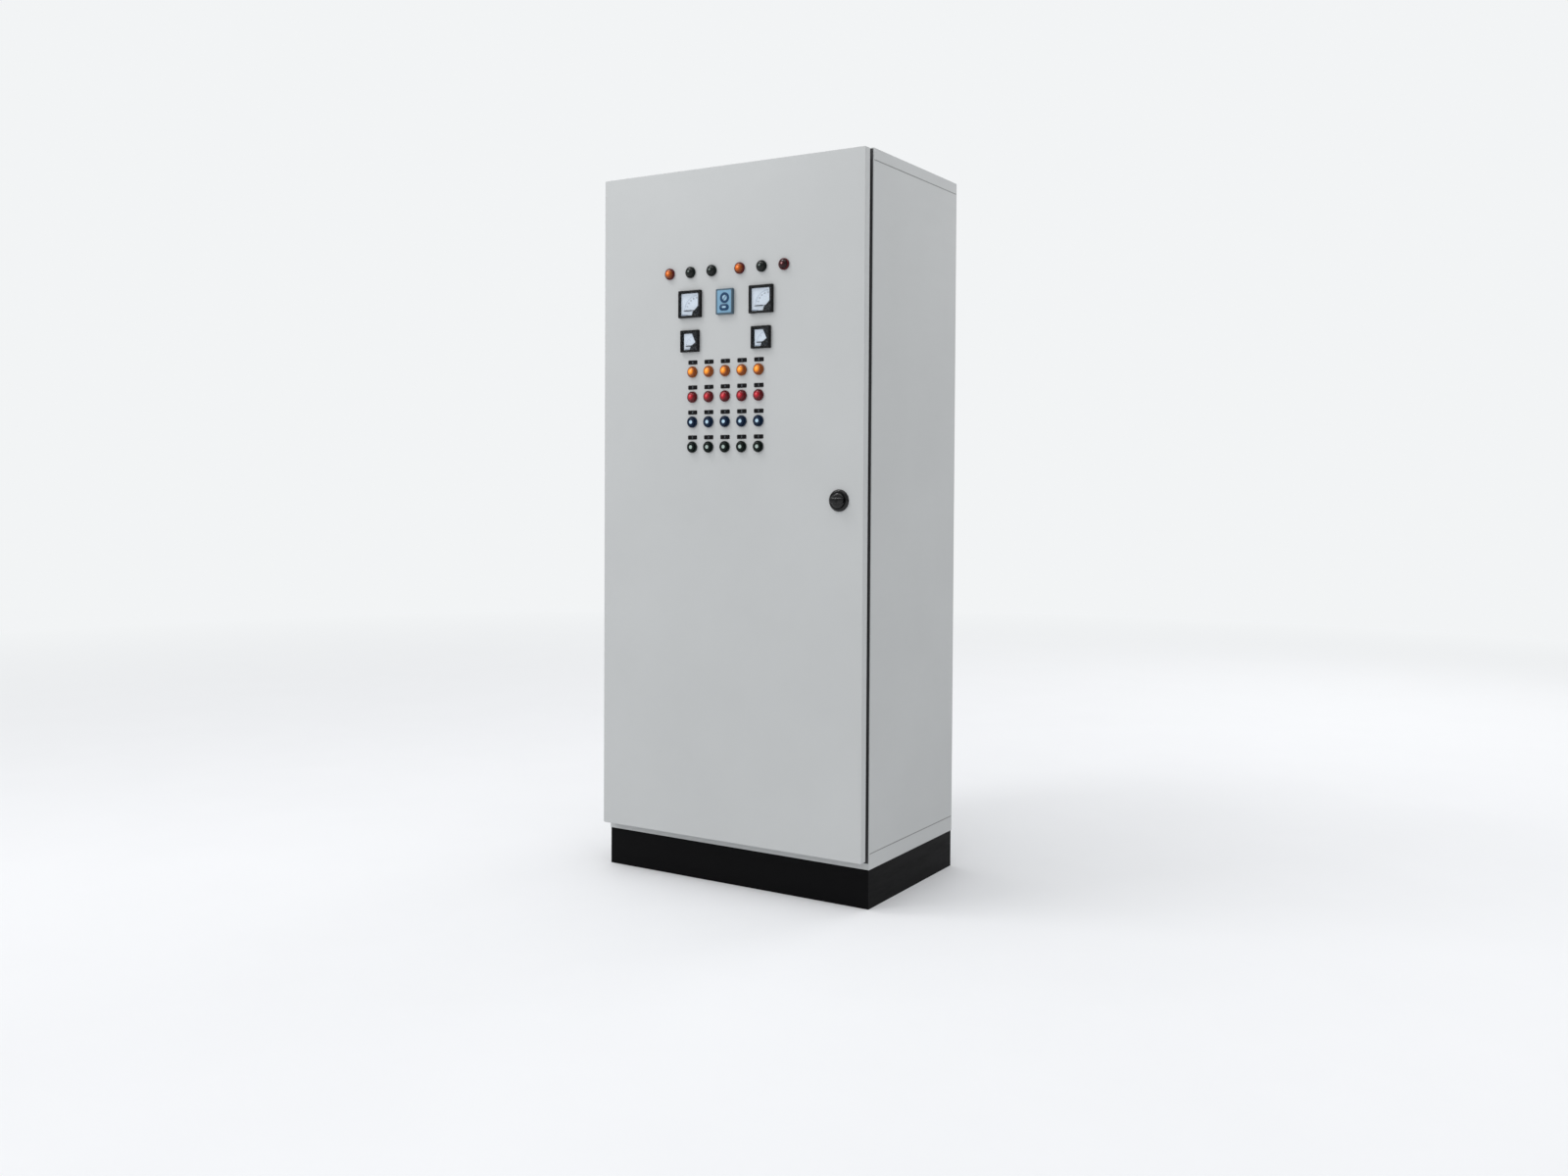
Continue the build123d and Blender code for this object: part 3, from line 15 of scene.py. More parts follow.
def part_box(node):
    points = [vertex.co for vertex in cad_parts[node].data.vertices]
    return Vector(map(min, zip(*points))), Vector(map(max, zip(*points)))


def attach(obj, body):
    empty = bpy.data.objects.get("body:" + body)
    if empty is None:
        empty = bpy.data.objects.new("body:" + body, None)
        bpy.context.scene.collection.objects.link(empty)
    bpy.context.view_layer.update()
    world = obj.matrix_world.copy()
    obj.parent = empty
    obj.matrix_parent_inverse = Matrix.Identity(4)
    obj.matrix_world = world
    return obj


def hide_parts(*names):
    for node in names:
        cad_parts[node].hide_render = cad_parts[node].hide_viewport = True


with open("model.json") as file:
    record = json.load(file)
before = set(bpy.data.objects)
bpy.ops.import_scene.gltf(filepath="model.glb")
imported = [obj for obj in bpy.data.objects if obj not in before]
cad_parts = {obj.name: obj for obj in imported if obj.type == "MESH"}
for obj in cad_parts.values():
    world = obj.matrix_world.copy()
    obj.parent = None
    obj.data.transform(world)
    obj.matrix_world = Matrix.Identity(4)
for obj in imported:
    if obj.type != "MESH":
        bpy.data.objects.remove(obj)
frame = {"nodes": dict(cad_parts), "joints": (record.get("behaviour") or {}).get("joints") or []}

LOG = logging.getLogger("cabinet")
MM = 0.001
Colour = tuple[float, float, float]
Point = tuple[float, float]
Shape = bmesh.types.BMesh
Material = bpy.types.Material
Socket = bpy.types.NodeSocket
BLACK: Colour = (0.0, 0.0, 0.0)
WHITE: Colour = (1.0, 1.0, 1.0)
STEEL_DUST: Colour = (0.52, 0.5, 0.46)
PLASTIC_DUST: Colour = (0.4, 0.39, 0.36)
SPECK: Colour = (0.25, 0.2, 0.15)
NUMBER = "NodeSocketFloat"
VECTOR = "NodeSocketVector"
COLOUR = "NodeSocketColor"
QUARTER_TURN = math.pi / 2
HALF_TURN = math.pi
FULL_TURN = 2 * math.pi
# Tolerances, and the height that parts the upper lamps from the matrix, in metres.
SAME_LEVEL = 1e-7
SAME_POINT = 1e-6
SAME_CORNER = 1e-5
UPPER_ROW = 1.58
# Edges turning more than this many degrees stay sharp.
SHARP_DEGREES = 34
# Meters wider than this, in millimetres, have the big face.
METER_SPLIT = 65


# ---- Places on the frame ----
@dataclass(frozen=True)
class Span:
    """The box of one solid of the frame, in metres."""

    lo: Vector
    hi: Vector

    @property
    def mid(self) -> Vector:
        """The middle of the box."""
        return (self.lo + self.hi) / 2

    @property
    def size(self) -> Vector:
        """The box's three sides, in millimetres."""
        return (self.hi - self.lo) / MM


def span_of(node: str) -> Span:
    """Gives the box of a whole CAD node.

    Args:
        node: Name of the node.

    Returns:
        Its box at rest.
    """
    lo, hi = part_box(node)
    return Span(Vector(lo), Vector(hi))


def solids_of(node: str) -> list[Span]:
    """Finds the separate solids of a CAD node.

    Args:
        node: Name of the node.

    Returns:
        One box for each solid, from the top row down and from left to right.
    """
    shape = bmesh.new()
    shape.from_mesh(frame["nodes"][node].data)
    bmesh.ops.remove_doubles(shape, verts=shape.verts, dist=SAME_CORNER)
    shape.verts.index_update()
    seen: set[int] = set()
    spans: list[Span] = []
    for start in shape.verts:
        if start.index in seen:
            continue
        seen.add(start.index)
        stack = [start]
        points = []
        while stack:
            vert = stack.pop()
            points.append(vert.co.copy())
            for edge in vert.link_edges:
                other = edge.other_vert(vert)
                if other.index not in seen:
                    seen.add(other.index)
                    stack.append(other)
        lo = Vector(min(p[i] for p in points) for i in range(3))
        hi = Vector(max(p[i] for p in points) for i in range(3))
        spans.append(Span(lo, hi))
    shape.free()
    return sorted(spans, key=lambda span: (-round(span.mid.z, 3), span.mid.x))


def facing(x: float, z: float, y: float) -> Matrix:
    """Places a shape whose own +Z points to the cabinet's front and +Y up; metres."""
    return Matrix.Translation((x, y, z)) @ Matrix.Rotation(QUARTER_TURN, 4, "X")


def shift(x: float = 0.0, y: float = 0.0, z: float = 0.0) -> Matrix:
    """A plain move, in millimetres."""
    return Matrix.Translation((x * MM, y * MM, z * MM))


# ---- Shaping, sizes in millimetres ----
def lathe(profile: Sequence[Point], steps: int = 32, ring: bool = False) -> Shape:
    """Spins a profile about Z.

    Args:
        profile: Radius and height of each corner.
        steps: Number of faces round the axis.
        ring: True where the profile is a closed loop off the axis.

    Returns:
        A closed shape.
    """
    shape = bmesh.new()
    verts = [shape.verts.new((radius * MM, 0, z * MM)) for radius, z in profile]
    edges = [shape.edges.new(pair) for pair in zip(verts, verts[1:])]
    if ring:
        edges.append(shape.edges.new((verts[-1], verts[0])))
    bmesh.ops.spin(
        shape, geom=verts + edges, cent=(0, 0, 0), axis=(0, 0, 1), angle=FULL_TURN, steps=steps,
        use_merge=True,
    )
    bmesh.ops.remove_doubles(shape, verts=shape.verts, dist=SAME_POINT)
    bmesh.ops.recalc_face_normals(shape, faces=shape.faces)
    return shape


def round_edges(
    shape: Shape, edges: Sequence[bmesh.types.BMEdge], radius: float, segments: int
) -> None:
    """Rounds some edges of a shape.

    Args:
        shape: The shape.
        edges: The edges to round.
        radius: Radius of the rounding.
        segments: Number of faces across it.
    """
    bmesh.ops.bevel(
        shape, geom=list(edges), offset=radius * MM, offset_type="OFFSET", segments=segments,
        profile=0.5, affect="EDGES", material=-1, clamp_overlap=True,
    )


def block(
    width: float, height: float, depth: float, edge: float = 0.6, corner: float = 0.0, segments: int = 2
) -> Shape:
    """A block whose back lies on Z = 0, with rounded corners and edges.

    Args:
        width: Size along X.
        height: Size along Y.
        depth: Size along Z.
        edge: Radius of the front edges, or of all edges where there is no corner radius.
        corner: Radius of the four edges along Z.
        segments: Faces across each rounding.

    Returns:
        The shape.
    """
    shape = bmesh.new()
    bmesh.ops.create_cube(shape, size=MM)
    bmesh.ops.translate(shape, vec=(0, 0, MM / 2), verts=shape.verts)
    bmesh.ops.scale(shape, vec=(width, height, depth), verts=shape.verts)
    if corner:
        along = [e for e in shape.edges if abs(e.verts[0].co.z - e.verts[1].co.z) > depth * MM / 2]
        round_edges(shape, along, corner, 3 * segments)
        rim = [e for e in shape.edges if all(abs(v.co.z - depth * MM) < SAME_LEVEL for v in e.verts)]
        if edge:
            round_edges(shape, rim, edge, segments)
    elif edge:
        round_edges(shape, shape.edges, edge, segments)
    return shape


def framed(width: float, height: float, profile: Sequence[Point], corner: float = 0.0) -> Shape:
    """Runs a profile round a rectangle, with mitred corners.

    Args:
        width: Size along X.
        height: Size along Y.
        profile: Distance in from the edge and height of each corner, from one middle to the other.
        corner: Radius of the outer corners.

    Returns:
        A closed shape.
    """
    half = width / 2
    shape = lathe([((half - inset) * math.sqrt(2), z) for inset, z in profile], 4)
    eighth = Matrix.Rotation(QUARTER_TURN / 2, 3, "Z")
    bmesh.ops.rotate(shape, cent=(0, 0, 0), matrix=eighth, verts=shape.verts)
    for side in (-1, 1):
        row = [vert for vert in shape.verts if side * vert.co.y > SAME_LEVEL]
        bmesh.ops.translate(shape, vec=(0, side * (height - width) / 2 * MM, 0), verts=row)
    if corner:
        along = [e for e in shape.edges if abs(e.verts[0].co.z - e.verts[1].co.z) > SAME_LEVEL
                 and all(abs(v.co.x) > (half - 0.4 * corner) * MM for v in e.verts)]
        round_edges(shape, along, corner, 4)
    return shape


def tray(
    width: float, height: float, depth: float, border: float, well: float,
    edge: float = 0.7, corner: float = 0.0,
) -> Shape:
    """A block whose front is hollowed inside a border.

    Args:
        width: Size along X.
        height: Size along Y.
        depth: Size along Z.
        border: Width left round the hollow.
        well: Depth of the hollow.
        edge: Size of the broken front edge.
        corner: Radius of the outer corners.

    Returns:
        The shape, its back on Z = 0.
    """
    half = width / 2
    low = depth - well
    profile = [(half, low), (border + 0.5 * well, low), (border, depth), (edge, depth),
               (0.3 * edge, depth - 0.3 * edge), (0, depth - edge), (0, 0), (half, 0)]
    return framed(width, height, profile, corner)


def cut_sheet(outline: Sequence[Point], thickness: float, edge: float = 0.0) -> Shape:
    """A flat piece cut to an outline, its back on Z = 0.

    Args:
        outline: Corners in order.
        thickness: Thickness of the sheet.
        edge: Radius of all its edges.

    Returns:
        The shape.
    """
    shape = bmesh.new()
    face = shape.faces.new([shape.verts.new((x * MM, y * MM, 0)) for x, y in outline])
    grown = bmesh.ops.extrude_face_region(shape, geom=[face], use_keep_orig=True)
    raised = [item for item in grown["geom"] if isinstance(item, bmesh.types.BMVert)]
    bmesh.ops.translate(shape, vec=(0, 0, thickness * MM), verts=raised)
    bmesh.ops.recalc_face_normals(shape, faces=shape.faces)
    if edge:
        round_edges(shape, shape.edges, edge, 1)
    return shape


def turned(shape: Shape, place: Matrix) -> Shape:
    """Moves a shape by a matrix and gives it back."""
    bmesh.ops.transform(shape, matrix=place, verts=shape.verts)
    return shape


def screw_head(radius: float, height: float, slot: float) -> Shape:
    """A pan-head screw with a cross recess, its seat on Z = 0.

    Args:
        radius: Radius of the head.
        height: Height of the head.
        slot: Width of the recess.

    Returns:
        The shape.
    """
    shape = lathe([(0, 0), (radius, 0), (radius, 0.45 * height), (0.8 * radius, 0.85 * height),
                   (0.5 * radius, height), (0, height)], 16)
    crown = [f for f in shape.faces
             if f.normal.z > 0.98 and f.calc_center_median().z > 0.9 * height * MM]
    merged = bmesh.ops.dissolve_faces(shape, faces=crown)["region"]
    bmesh.ops.inset_individual(shape, faces=merged, thickness=(0.5 * radius - slot) * MM, depth=0)
    bmesh.ops.inset_individual(
        shape, faces=merged, thickness=0.3 * slot * MM, depth=-0.35 * height * MM
    )
    return shape


class Piece:
    """Collects shapes into one finished mesh object."""

    def __init__(self, name: str, *finishes: Material) -> None:
        """Starts an empty piece.

        Args:
            name: The piece's name.
            finishes: Its finishes, in order.
        """
        self.name = name
        self.finishes = finishes
        self.gathered = bmesh.new()

    def add(self, shape: Shape, places: Iterable[Matrix], finish: int = 0) -> None:
        """Copies a shape to each place.

        Args:
            shape: The shape, used up by this call.
            places: Where each copy goes.
            finish: Which of the piece's finishes it wears.
        """
        for face in shape.faces:
            face.smooth = True
            face.material_index = finish
        stamp = bpy.data.meshes.new("stamp")
        shape.to_mesh(stamp)
        shape.free()
        for place in places:
            copy = stamp.copy()
            copy.transform(place)
            self.gathered.from_mesh(copy)
            bpy.data.meshes.remove(copy)
        bpy.data.meshes.remove(stamp)

    def build(self, body: str, slot: str, *nodes: str) -> bpy.types.Object:
        """Makes the object and ties it to the frame.

        Args:
            body: The CAD body it rides on.
            slot: The record's material slot; not used.
            nodes: The CAD nodes that it stands for.

        Returns:
            The finished object.
        """
        mesh = bpy.data.meshes.new(self.name)
        self.gathered.to_mesh(mesh)
        self.gathered.free()
        for finish in self.finishes:
            mesh.materials.append(finish)
        mesh.set_sharp_from_angle(angle=math.radians(SHARP_DEGREES))
        made = bpy.data.objects.new(self.name, mesh)
        bpy.context.scene.collection.objects.link(made)
        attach(made, body)
        if nodes:
            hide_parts(*nodes)
        LOG.info("%s: %d faces on %s", self.name, len(mesh.polygons), body)
        return made


# ---- Shader nodes ----
class Tree:
    """Adds and joins nodes in one shader tree."""

    def __init__(self, tree: bpy.types.NodeTree) -> None:
        """Takes the tree to work in."""
        self.tree = tree

    def join(self, made: bpy.types.Node, inputs: dict[str | int, object]) -> bpy.types.Node:
        """Gives a node its inputs.

        Args:
            made: The node.
            inputs: A value or a socket for each input; a plain colour gets full alpha.

        Returns:
            The same node.
        """
        for key, value in inputs.items():
            if isinstance(value, bpy.types.NodeSocket):
                self.tree.links.new(value, made.inputs[key])
            else:
                colour = made.inputs[key].type == "RGBA"
                made.inputs[key].default_value = rgba(value) if colour else value
        return made

    def node(
        self, kind: str, inputs: dict[str | int, object] | None = None, **settings: object
    ) -> bpy.types.Node:
        """Adds a node.

        Args:
            kind: The node's type name.
            inputs: A value or a socket for each input.
            settings: The node's own properties.

        Returns:
            The node.
        """
        made = self.tree.nodes.new(kind)
        for key, value in settings.items():
            setattr(made, key, value)
        return self.join(made, inputs or {})

    def maths(self, operation: str, a: object, b: object = 0.0, clamp: bool = False) -> Socket:
        """Works out one number from two."""
        made = self.node("ShaderNodeMath", {0: a, 1: b}, operation=operation, use_clamp=clamp)
        return made.outputs[0]

    def mix(self, factor: object, a: object, b: object, blend: str = "MIX") -> Socket:
        """Mixes two colours."""
        inputs = {0: factor, 6: rgba(a), 7: rgba(b)}
        return self.node("ShaderNodeMix", inputs, data_type="RGBA", blend_type=blend).outputs[2]

    def spread(self, value: object, low: float, high: float, to_low: float, to_high: float) -> Socket:
        """Maps a number from one range to another, held at its ends."""
        inputs = {0: value, 1: low, 2: high, 3: to_low, 4: to_high}
        return self.node("ShaderNodeMapRange", inputs).outputs[0]

    def noise(self, vector: Socket, scale: object, detail: float = 3.0, rough: float = 0.55) -> Socket:
        """Smooth noise from 0 to 1."""
        inputs = {"Vector": vector, "Scale": scale, "Detail": detail, "Roughness": rough}
        return self.node("ShaderNodeTexNoise", inputs).outputs[0]

    def ramp(self, factor: Socket, stops: Sequence[tuple[float, Colour]]) -> Socket:
        """Turns a number into a colour.

        Args:
            factor: The number, from 0 to 1.
            stops: Place and colour of each stop, in order.

        Returns:
            The colour.
        """
        made = self.node("ShaderNodeValToRGB", {0: factor})
        elements = made.color_ramp.elements
        while len(elements) < len(stops):
            elements.new(0.5)
        for element, (place, colour) in zip(elements, stops):
            element.position = place
            element.color = rgba(colour)
        return made.outputs[0]

    def close(self, **values: Socket) -> bpy.types.NodeTree:
        """Feeds a group's outputs.

        Args:
            values: The socket for each output.

        Returns:
            The finished group.
        """
        self.join(self.tree.nodes["out"], values)
        return self.tree


def rgba(value: object) -> object:
    """Adds full alpha to a plain colour and leaves a socket as it is."""
    return (*value, 1.0) if isinstance(value, tuple) and len(value) == 3 else value


def new_group(name: str, inputs: dict[str, tuple[str, object]], outputs: dict[str, str]) -> Tree:
    """Starts a node group.

    Args:
        name: The group's name.
        inputs: Socket type and default of each input.
        outputs: Socket type of each output.

    Returns:
        The group's tree, with its input node named "in" and its output node named "out".
    """
    group = bpy.data.node_groups.new(name, "ShaderNodeTree")
    for title, (kind, default) in inputs.items():
        socket = group.interface.new_socket(name=title, in_out="INPUT", socket_type=kind)
        if default is not None:
            socket.default_value = default
    for title, kind in outputs.items():
        group.interface.new_socket(name=title, in_out="OUTPUT", socket_type=kind)
    tree = Tree(group)
    tree.node("NodeGroupInput", name="in")
    tree.node("NodeGroupOutput", name="out")
    return tree


class Effects:
    """The node groups that several finishes share."""

    def __init__(self) -> None:
        """Builds every group once."""
        self.pebble = self.make_pebble()
        self.cloud = self.make_cloud()
        self.wear_and_highlight = self.make_wear_and_highlight_edges()
        self.dust = self.make_dust()
        self.scuff = self.make_scuff()

    def make_pebble(self) -> bpy.types.NodeTree:
        """Fine surface texture at two sizes, as a height.

        Returns:
            The group.
        """
        tree = new_group(
            "fine_pebble",
            {"Vector": (VECTOR, None), "Grain": (NUMBER, 900.0), "Waves": (NUMBER, 60.0),
             "Waviness": (NUMBER, 0.4)},
            {"Height": NUMBER},
        )
        given = tree.tree.nodes["in"].outputs
        fine = tree.noise(given["Vector"], given["Grain"], 2.0)
        broad = tree.noise(given["Vector"], given["Waves"], 1.0)
        height = tree.maths("ADD", fine, tree.maths("MULTIPLY", broad, given["Waviness"]))
        return tree.close(Height=height)

    def make_cloud(self) -> bpy.types.NodeTree:
        """Slow light and dark clouding of a colour.

        Returns:
            The group.
        """
        tree = new_group(
            "slow_cloud",
            {"Vector": (VECTOR, None), "Colour": (COLOUR, rgba(WHITE)),
             "Size": (NUMBER, 4.0), "Depth": (NUMBER, 0.05)},
            {"Colour": COLOUR, "Mask": NUMBER},
        )
        given = tree.tree.nodes["in"].outputs
        cloud = tree.noise(given["Vector"], given["Size"], 4.0)
        mask = tree.spread(cloud, 0.3, 0.7, 0.0, 1.0)
        dark = tree.mix(given["Depth"], given["Colour"], BLACK)
        coloured = tree.mix(mask, dark, given["Colour"])
        return tree.close(Colour=coloured, Mask=mask)

    def make_wear_and_highlight_edges(self) -> bpy.types.NodeTree:
        """A mask of edges, lightened partly as wear and partly as a painted highlight.

        Returns:
            The group.
        """
        tree = new_group(
            "edge_wear_and_painted_highlight",
            {"Vector": (VECTOR, None), "Radius": (NUMBER, 0.0015),
             "Amount": (NUMBER, 0.5)},
            {"Mask": NUMBER},
        )
        given = tree.tree.nodes["in"].outputs
        soft = tree.node("ShaderNodeBevel", {"Radius": given["Radius"]}, samples=4).outputs[0]
        plain = tree.node("ShaderNodeNewGeometry").outputs["Normal"]
        both = {0: soft, 1: plain}
        along = tree.node("ShaderNodeVectorMath", both, operation="DOT_PRODUCT").outputs["Value"]
        edge = tree.spread(along, 0.99, 0.86, 0.0, 1.0)
        broken = tree.spread(tree.noise(given["Vector"], 38.0, 5.0, 0.7), 0.35, 0.6, 0.15, 1.0)
        mask = tree.maths("MULTIPLY", tree.maths("MULTIPLY", edge, broken), given["Amount"], True)
        return tree.close(Mask=mask)

    def make_dust(self) -> bpy.types.NodeTree:
        """A mask of dust that settles on faces that look up.

        Returns:
            The group.
        """
        tree = new_group(
            "settled_dust",
            {"Vector": (VECTOR, None), "Amount": (NUMBER, 0.3)},
            {"Mask": NUMBER},
        )
        given = tree.tree.nodes["in"].outputs
        plain = tree.node("ShaderNodeNewGeometry").outputs["Normal"]
        up = tree.node("ShaderNodeSeparateXYZ", {0: plain}).outputs["Z"]
        facing_up = tree.spread(up, 0.5, 0.95, 0.0, 1.0)
        patchy = tree.spread(tree.noise(given["Vector"], 22.0, 6.0, 0.7), 0.3, 0.7, 0.3, 1.0)
        mask = tree.maths("MULTIPLY", tree.maths("MULTIPLY", facing_up, patchy), given["Amount"], True)
        return tree.close(Mask=mask)

    def make_scuff(self) -> bpy.types.NodeTree:
        """Faint smears and fine scratches, as a change of gloss.

        Returns:
            The group.
        """
        tree = new_group(
            "faint_scuffs",
            {"Vector": (VECTOR, None), "Stretch": (VECTOR, (1.0, 1.0, 6.0)),
             "Size": (NUMBER, 14.0)},
            {"Mask": NUMBER},
        )
        given = tree.tree.nodes["in"].outputs
        pulled = tree.node(
            "ShaderNodeVectorMath", {0: given["Vector"], 1: given["Stretch"]}, operation="MULTIPLY"
        ).outputs[0]
        streaks = tree.spread(tree.noise(pulled, given["Size"], 8.0, 0.75), 0.45, 0.75, 0.0, 1.0)
        return tree.close(Mask=streaks)


class Coat(Tree):
    """A material under way, with its shader and the object's own coordinates."""

    def __init__(self, name: str) -> None:
        """Starts the material.

        Args:
            name: The material's name.
        """
        self.material = bpy.data.materials.new(name)
        self.material.use_nodes = True
        super().__init__(self.material.node_tree)
        self.shader = next(node for node in self.tree.nodes if node.type == "BSDF_PRINCIPLED")
        self.place = self.node("ShaderNodeTexCoord").outputs["Object"]

    def use(self, group: bpy.types.NodeTree, **inputs: object) -> bpy.types.NodeOutputs:
        """Places a shared group on the object's own coordinates; gives its outputs."""
        made = self.node("ShaderNodeGroup", node_tree=group)
        return self.join(made, {"Vector": self.place, **inputs}).outputs

    def finish(
        self, inputs: dict[str, object], height: Socket, strength: float, depth: float
    ) -> Material:
        """Feeds the shader and its bump.

        Args:
            inputs: A value or a socket for each of the shader's inputs.
            height: The bump's height.
            strength: Strength of the bump.
            depth: Depth of the bump, in millimetres.

        Returns:
            The finished material.
        """
        relief = {"Strength": strength, "Distance": depth * MM, "Height": height}
        bump = self.node("ShaderNodeBump", relief)
        self.join(self.shader, {**inputs, "Normal": bump.outputs[0]})
        return self.material


@dataclass(frozen=True)
class Enamel:
    """Powder coat on sheet steel: pebbled, faintly clouded, dusty on top, and lighter at edges as wear and
    a painted highlight.
    """

    name: str
    colour: Colour
    rubbed: Colour
    roughness: float = 0.42
    pebble: float = 0.35
    cloud: float = 0.05
    wear_and_highlight: float = 0.5
    dust: float = 0.25
    specular: float = 0.5

    def material(self, effects: Effects) -> Material:
        """Builds the material.

        Args:
            effects: The shared node groups.

        Returns:
            The finished material.
        """
        coat = Coat(self.name)
        cloud = coat.use(effects.cloud, Colour=self.colour, Size=2.6, Depth=self.cloud)
        wear_and_highlight = coat.use(effects.wear_and_highlight, Radius=1.6 * MM, Amount=self.wear_and_highlight)
        dust = coat.use(effects.dust, Amount=self.dust)
        scuff = coat.use(effects.scuff, Size=9.0)
        pebble = coat.use(effects.pebble, Grain=1100.0, Waves=240.0)
        # Edges turn lighter: partly wear, partly a painted highlight along them.
        worn_and_highlighted = coat.mix(wear_and_highlight["Mask"], cloud["Colour"], self.rubbed)
        smeared = coat.spread(scuff["Mask"], 0.0, 1.0, self.roughness, self.roughness + 0.1)
        inputs = {
            "Base Color": coat.mix(dust["Mask"], worn_and_highlighted, STEEL_DUST),
            "Roughness": coat.maths("ADD", smeared, coat.maths("MULTIPLY", dust["Mask"], 0.4), True),
            "Specular IOR Level": self.specular,
        }
        return coat.finish(inputs, pebble["Height"], self.pebble, 0.05)


@dataclass(frozen=True)
class Moulding:
    """Moulded plastic: a fine spark-eroded texture, slight clouding and a few scuffs."""

    name: str
    colour: Colour
    roughness: float = 0.4
    texture: float = 0.3
    coat: float = 0.0
    dust: float = 0.15
    specular: float = 0.4

    def material(self, effects: Effects) -> Material:
        """Builds the material.

        Args:
            effects: The shared node groups.

        Returns:
            The finished material.
        """
        coat = Coat(self.name)
        cloud = coat.use(effects.cloud, Colour=self.colour, Size=18.0, Depth=0.12)
        dust = coat.use(effects.dust, Amount=self.dust)
        scuff = coat.use(effects.scuff, Stretch=(1.0, 1.0, 1.0), Size=60.0)
        pebble = coat.use(effects.pebble, Grain=2600.0, Waves=500.0, Waviness=0.2)
        inputs = {
            "Base Color": coat.mix(dust["Mask"], cloud["Colour"], PLASTIC_DUST),
            "Roughness": coat.spread(scuff["Mask"], 0.0, 1.0, self.roughness, self.roughness + 0.14),
            "Coat Weight": self.coat,
            "Specular IOR Level": self.specular,
        }
        return coat.finish(inputs, pebble["Height"], self.texture, 0.03)


class Lay(Enum):
    """How a bare metal's marks run."""

    SPANGLED = "spangled"
    DRAWN = "drawn"


@dataclass(frozen=True)
class BareMetal:
    """Bare or plated metal, with zinc spangle or drawing marks and a little tarnish."""

    name: str
    colour: Colour
    dark: Colour
    roughness: float = 0.35
    lay: Lay = Lay.DRAWN
    along: tuple[float, float, float] = (1.0, 60.0, 60.0)

    def material(self, effects: Effects) -> Material:
        """Builds the material.

        Args:
            effects: The shared node groups.

        Returns:
            The finished material.
        """
        coat = Coat(self.name)
        if self.lay is Lay.SPANGLED:
            inputs = {"Vector": coat.place, "Scale": 70.0, "Randomness": 1.0}
            flakes = coat.node("ShaderNodeTexVoronoi", inputs, feature="F1").outputs["Color"]
            marks = coat.node("ShaderNodeSeparateColor", {0: flakes}).outputs[0]
        else:
            inputs = {0: coat.place, 1: self.along}
            pulled = coat.node("ShaderNodeVectorMath", inputs, operation="MULTIPLY").outputs[0]
            marks = coat.noise(pulled, 18.0, 4.0, 0.6)
        stain = coat.use(effects.cloud, Colour=self.colour, Size=11.0, Depth=0.2)
        tone = coat.spread(marks, 0.0, 1.0, 0.0, 0.6)
        inputs = {
            "Base Color": coat.mix(tone, stain["Colour"], self.dark),
            "Roughness": coat.spread(marks, 0.0, 1.0, self.roughness - 0.04, self.roughness + 0.08),
            "Metallic": 1.0,
        }
        return coat.finish(inputs, marks, 0.12, 0.02)


@dataclass(frozen=True)
class LampGlass:
    """Tinted lens plastic whose colour deepens from its middle to its rim: the lamp's own glow where lit,
    with a painted highlight up and to the left and painted shade towards the lower right and the rim.
    """

    name: str
    middle: Colour
    body: Colour
    rim: Colour
    unlit_painted_highlight: Colour
    unlit_body: Colour
    lamp_and_painted_glow: float = 0.5

    def material(self, effects: Effects) -> Material:
        """Builds the material.

        Args:
            effects: The shared node groups.

        Returns:
            The finished material.
        """
        coat = Coat(self.name)
        # The ring value runs from a point up and left of each lens's middle: a painted highlight there and
        # painted shade towards the lower right and the rim.
        ring = coat.node("ShaderNodeAttribute", attribute_name="ring").outputs["Fac"]
        lit = coat.node("ShaderNodeAttribute", attribute_name="lit").outputs["Fac"]
        ripple = coat.maths("SUBTRACT", coat.noise(coat.place, 160.0, 2.0), 0.5)
        reach = coat.maths("ADD", ring, coat.maths("MULTIPLY", ripple, 0.16), True)
        # Lit lenses deepen outwards: partly the lamp's own glow, partly painted shade towards the rim.
        on = coat.ramp(reach, [(0.0, self.middle), (0.42, self.body), (0.98, self.rim)])
        shaded_rim = tuple(0.25 * part for part in self.unlit_body)
        # Unlit lenses keep a pale middle, a painted highlight, and a dark rim, painted shade.
        off = coat.ramp(reach, [(0.0, self.unlit_painted_highlight), (0.3, self.unlit_body), (0.95, shaded_rim)])
        colour = coat.mix(lit, off, on)
        pebble = coat.use(effects.pebble, Grain=700.0, Waves=300.0)
        # Every lens glows at this strength, the unlit ones too, so their glow is painted light.
        inputs = {
            "Base Color": colour,
            "Emission Color": colour,
            "Emission Strength": self.lamp_and_painted_glow,
            "Coat Weight": 0.15,
            "Specular IOR Level": 0.25,
            "Roughness": coat.spread(pebble["Height"], 0.3, 1.2, 0.12, 0.24),
        }
        return coat.finish(inputs, pebble["Height"], 0.1, 0.03)


@dataclass(frozen=True)
class ClearPane:
    """A thin clear window with a faint film on it."""

    name: str
    alpha: float = 0.03

    def material(self, effects: Effects) -> Material:
        """Builds the material.

        Args:
            effects: The shared node groups.

        Returns:
            The finished material.
        """
        coat = Coat(self.name)
        scuff = coat.use(effects.scuff, Stretch=(1.0, 1.0, 2.0), Size=30.0)["Mask"]
        coat.join(coat.shader, {
            "Base Color": coat.mix(scuff, (0.2, 0.24, 0.28), (0.35, 0.4, 0.44)),
            "Roughness": coat.spread(scuff, 0.0, 1.0, 0.04, 0.12),
            "Alpha": coat.spread(scuff, 0.0, 1.0, self.alpha, self.alpha + 0.03),
        })
        return coat.material


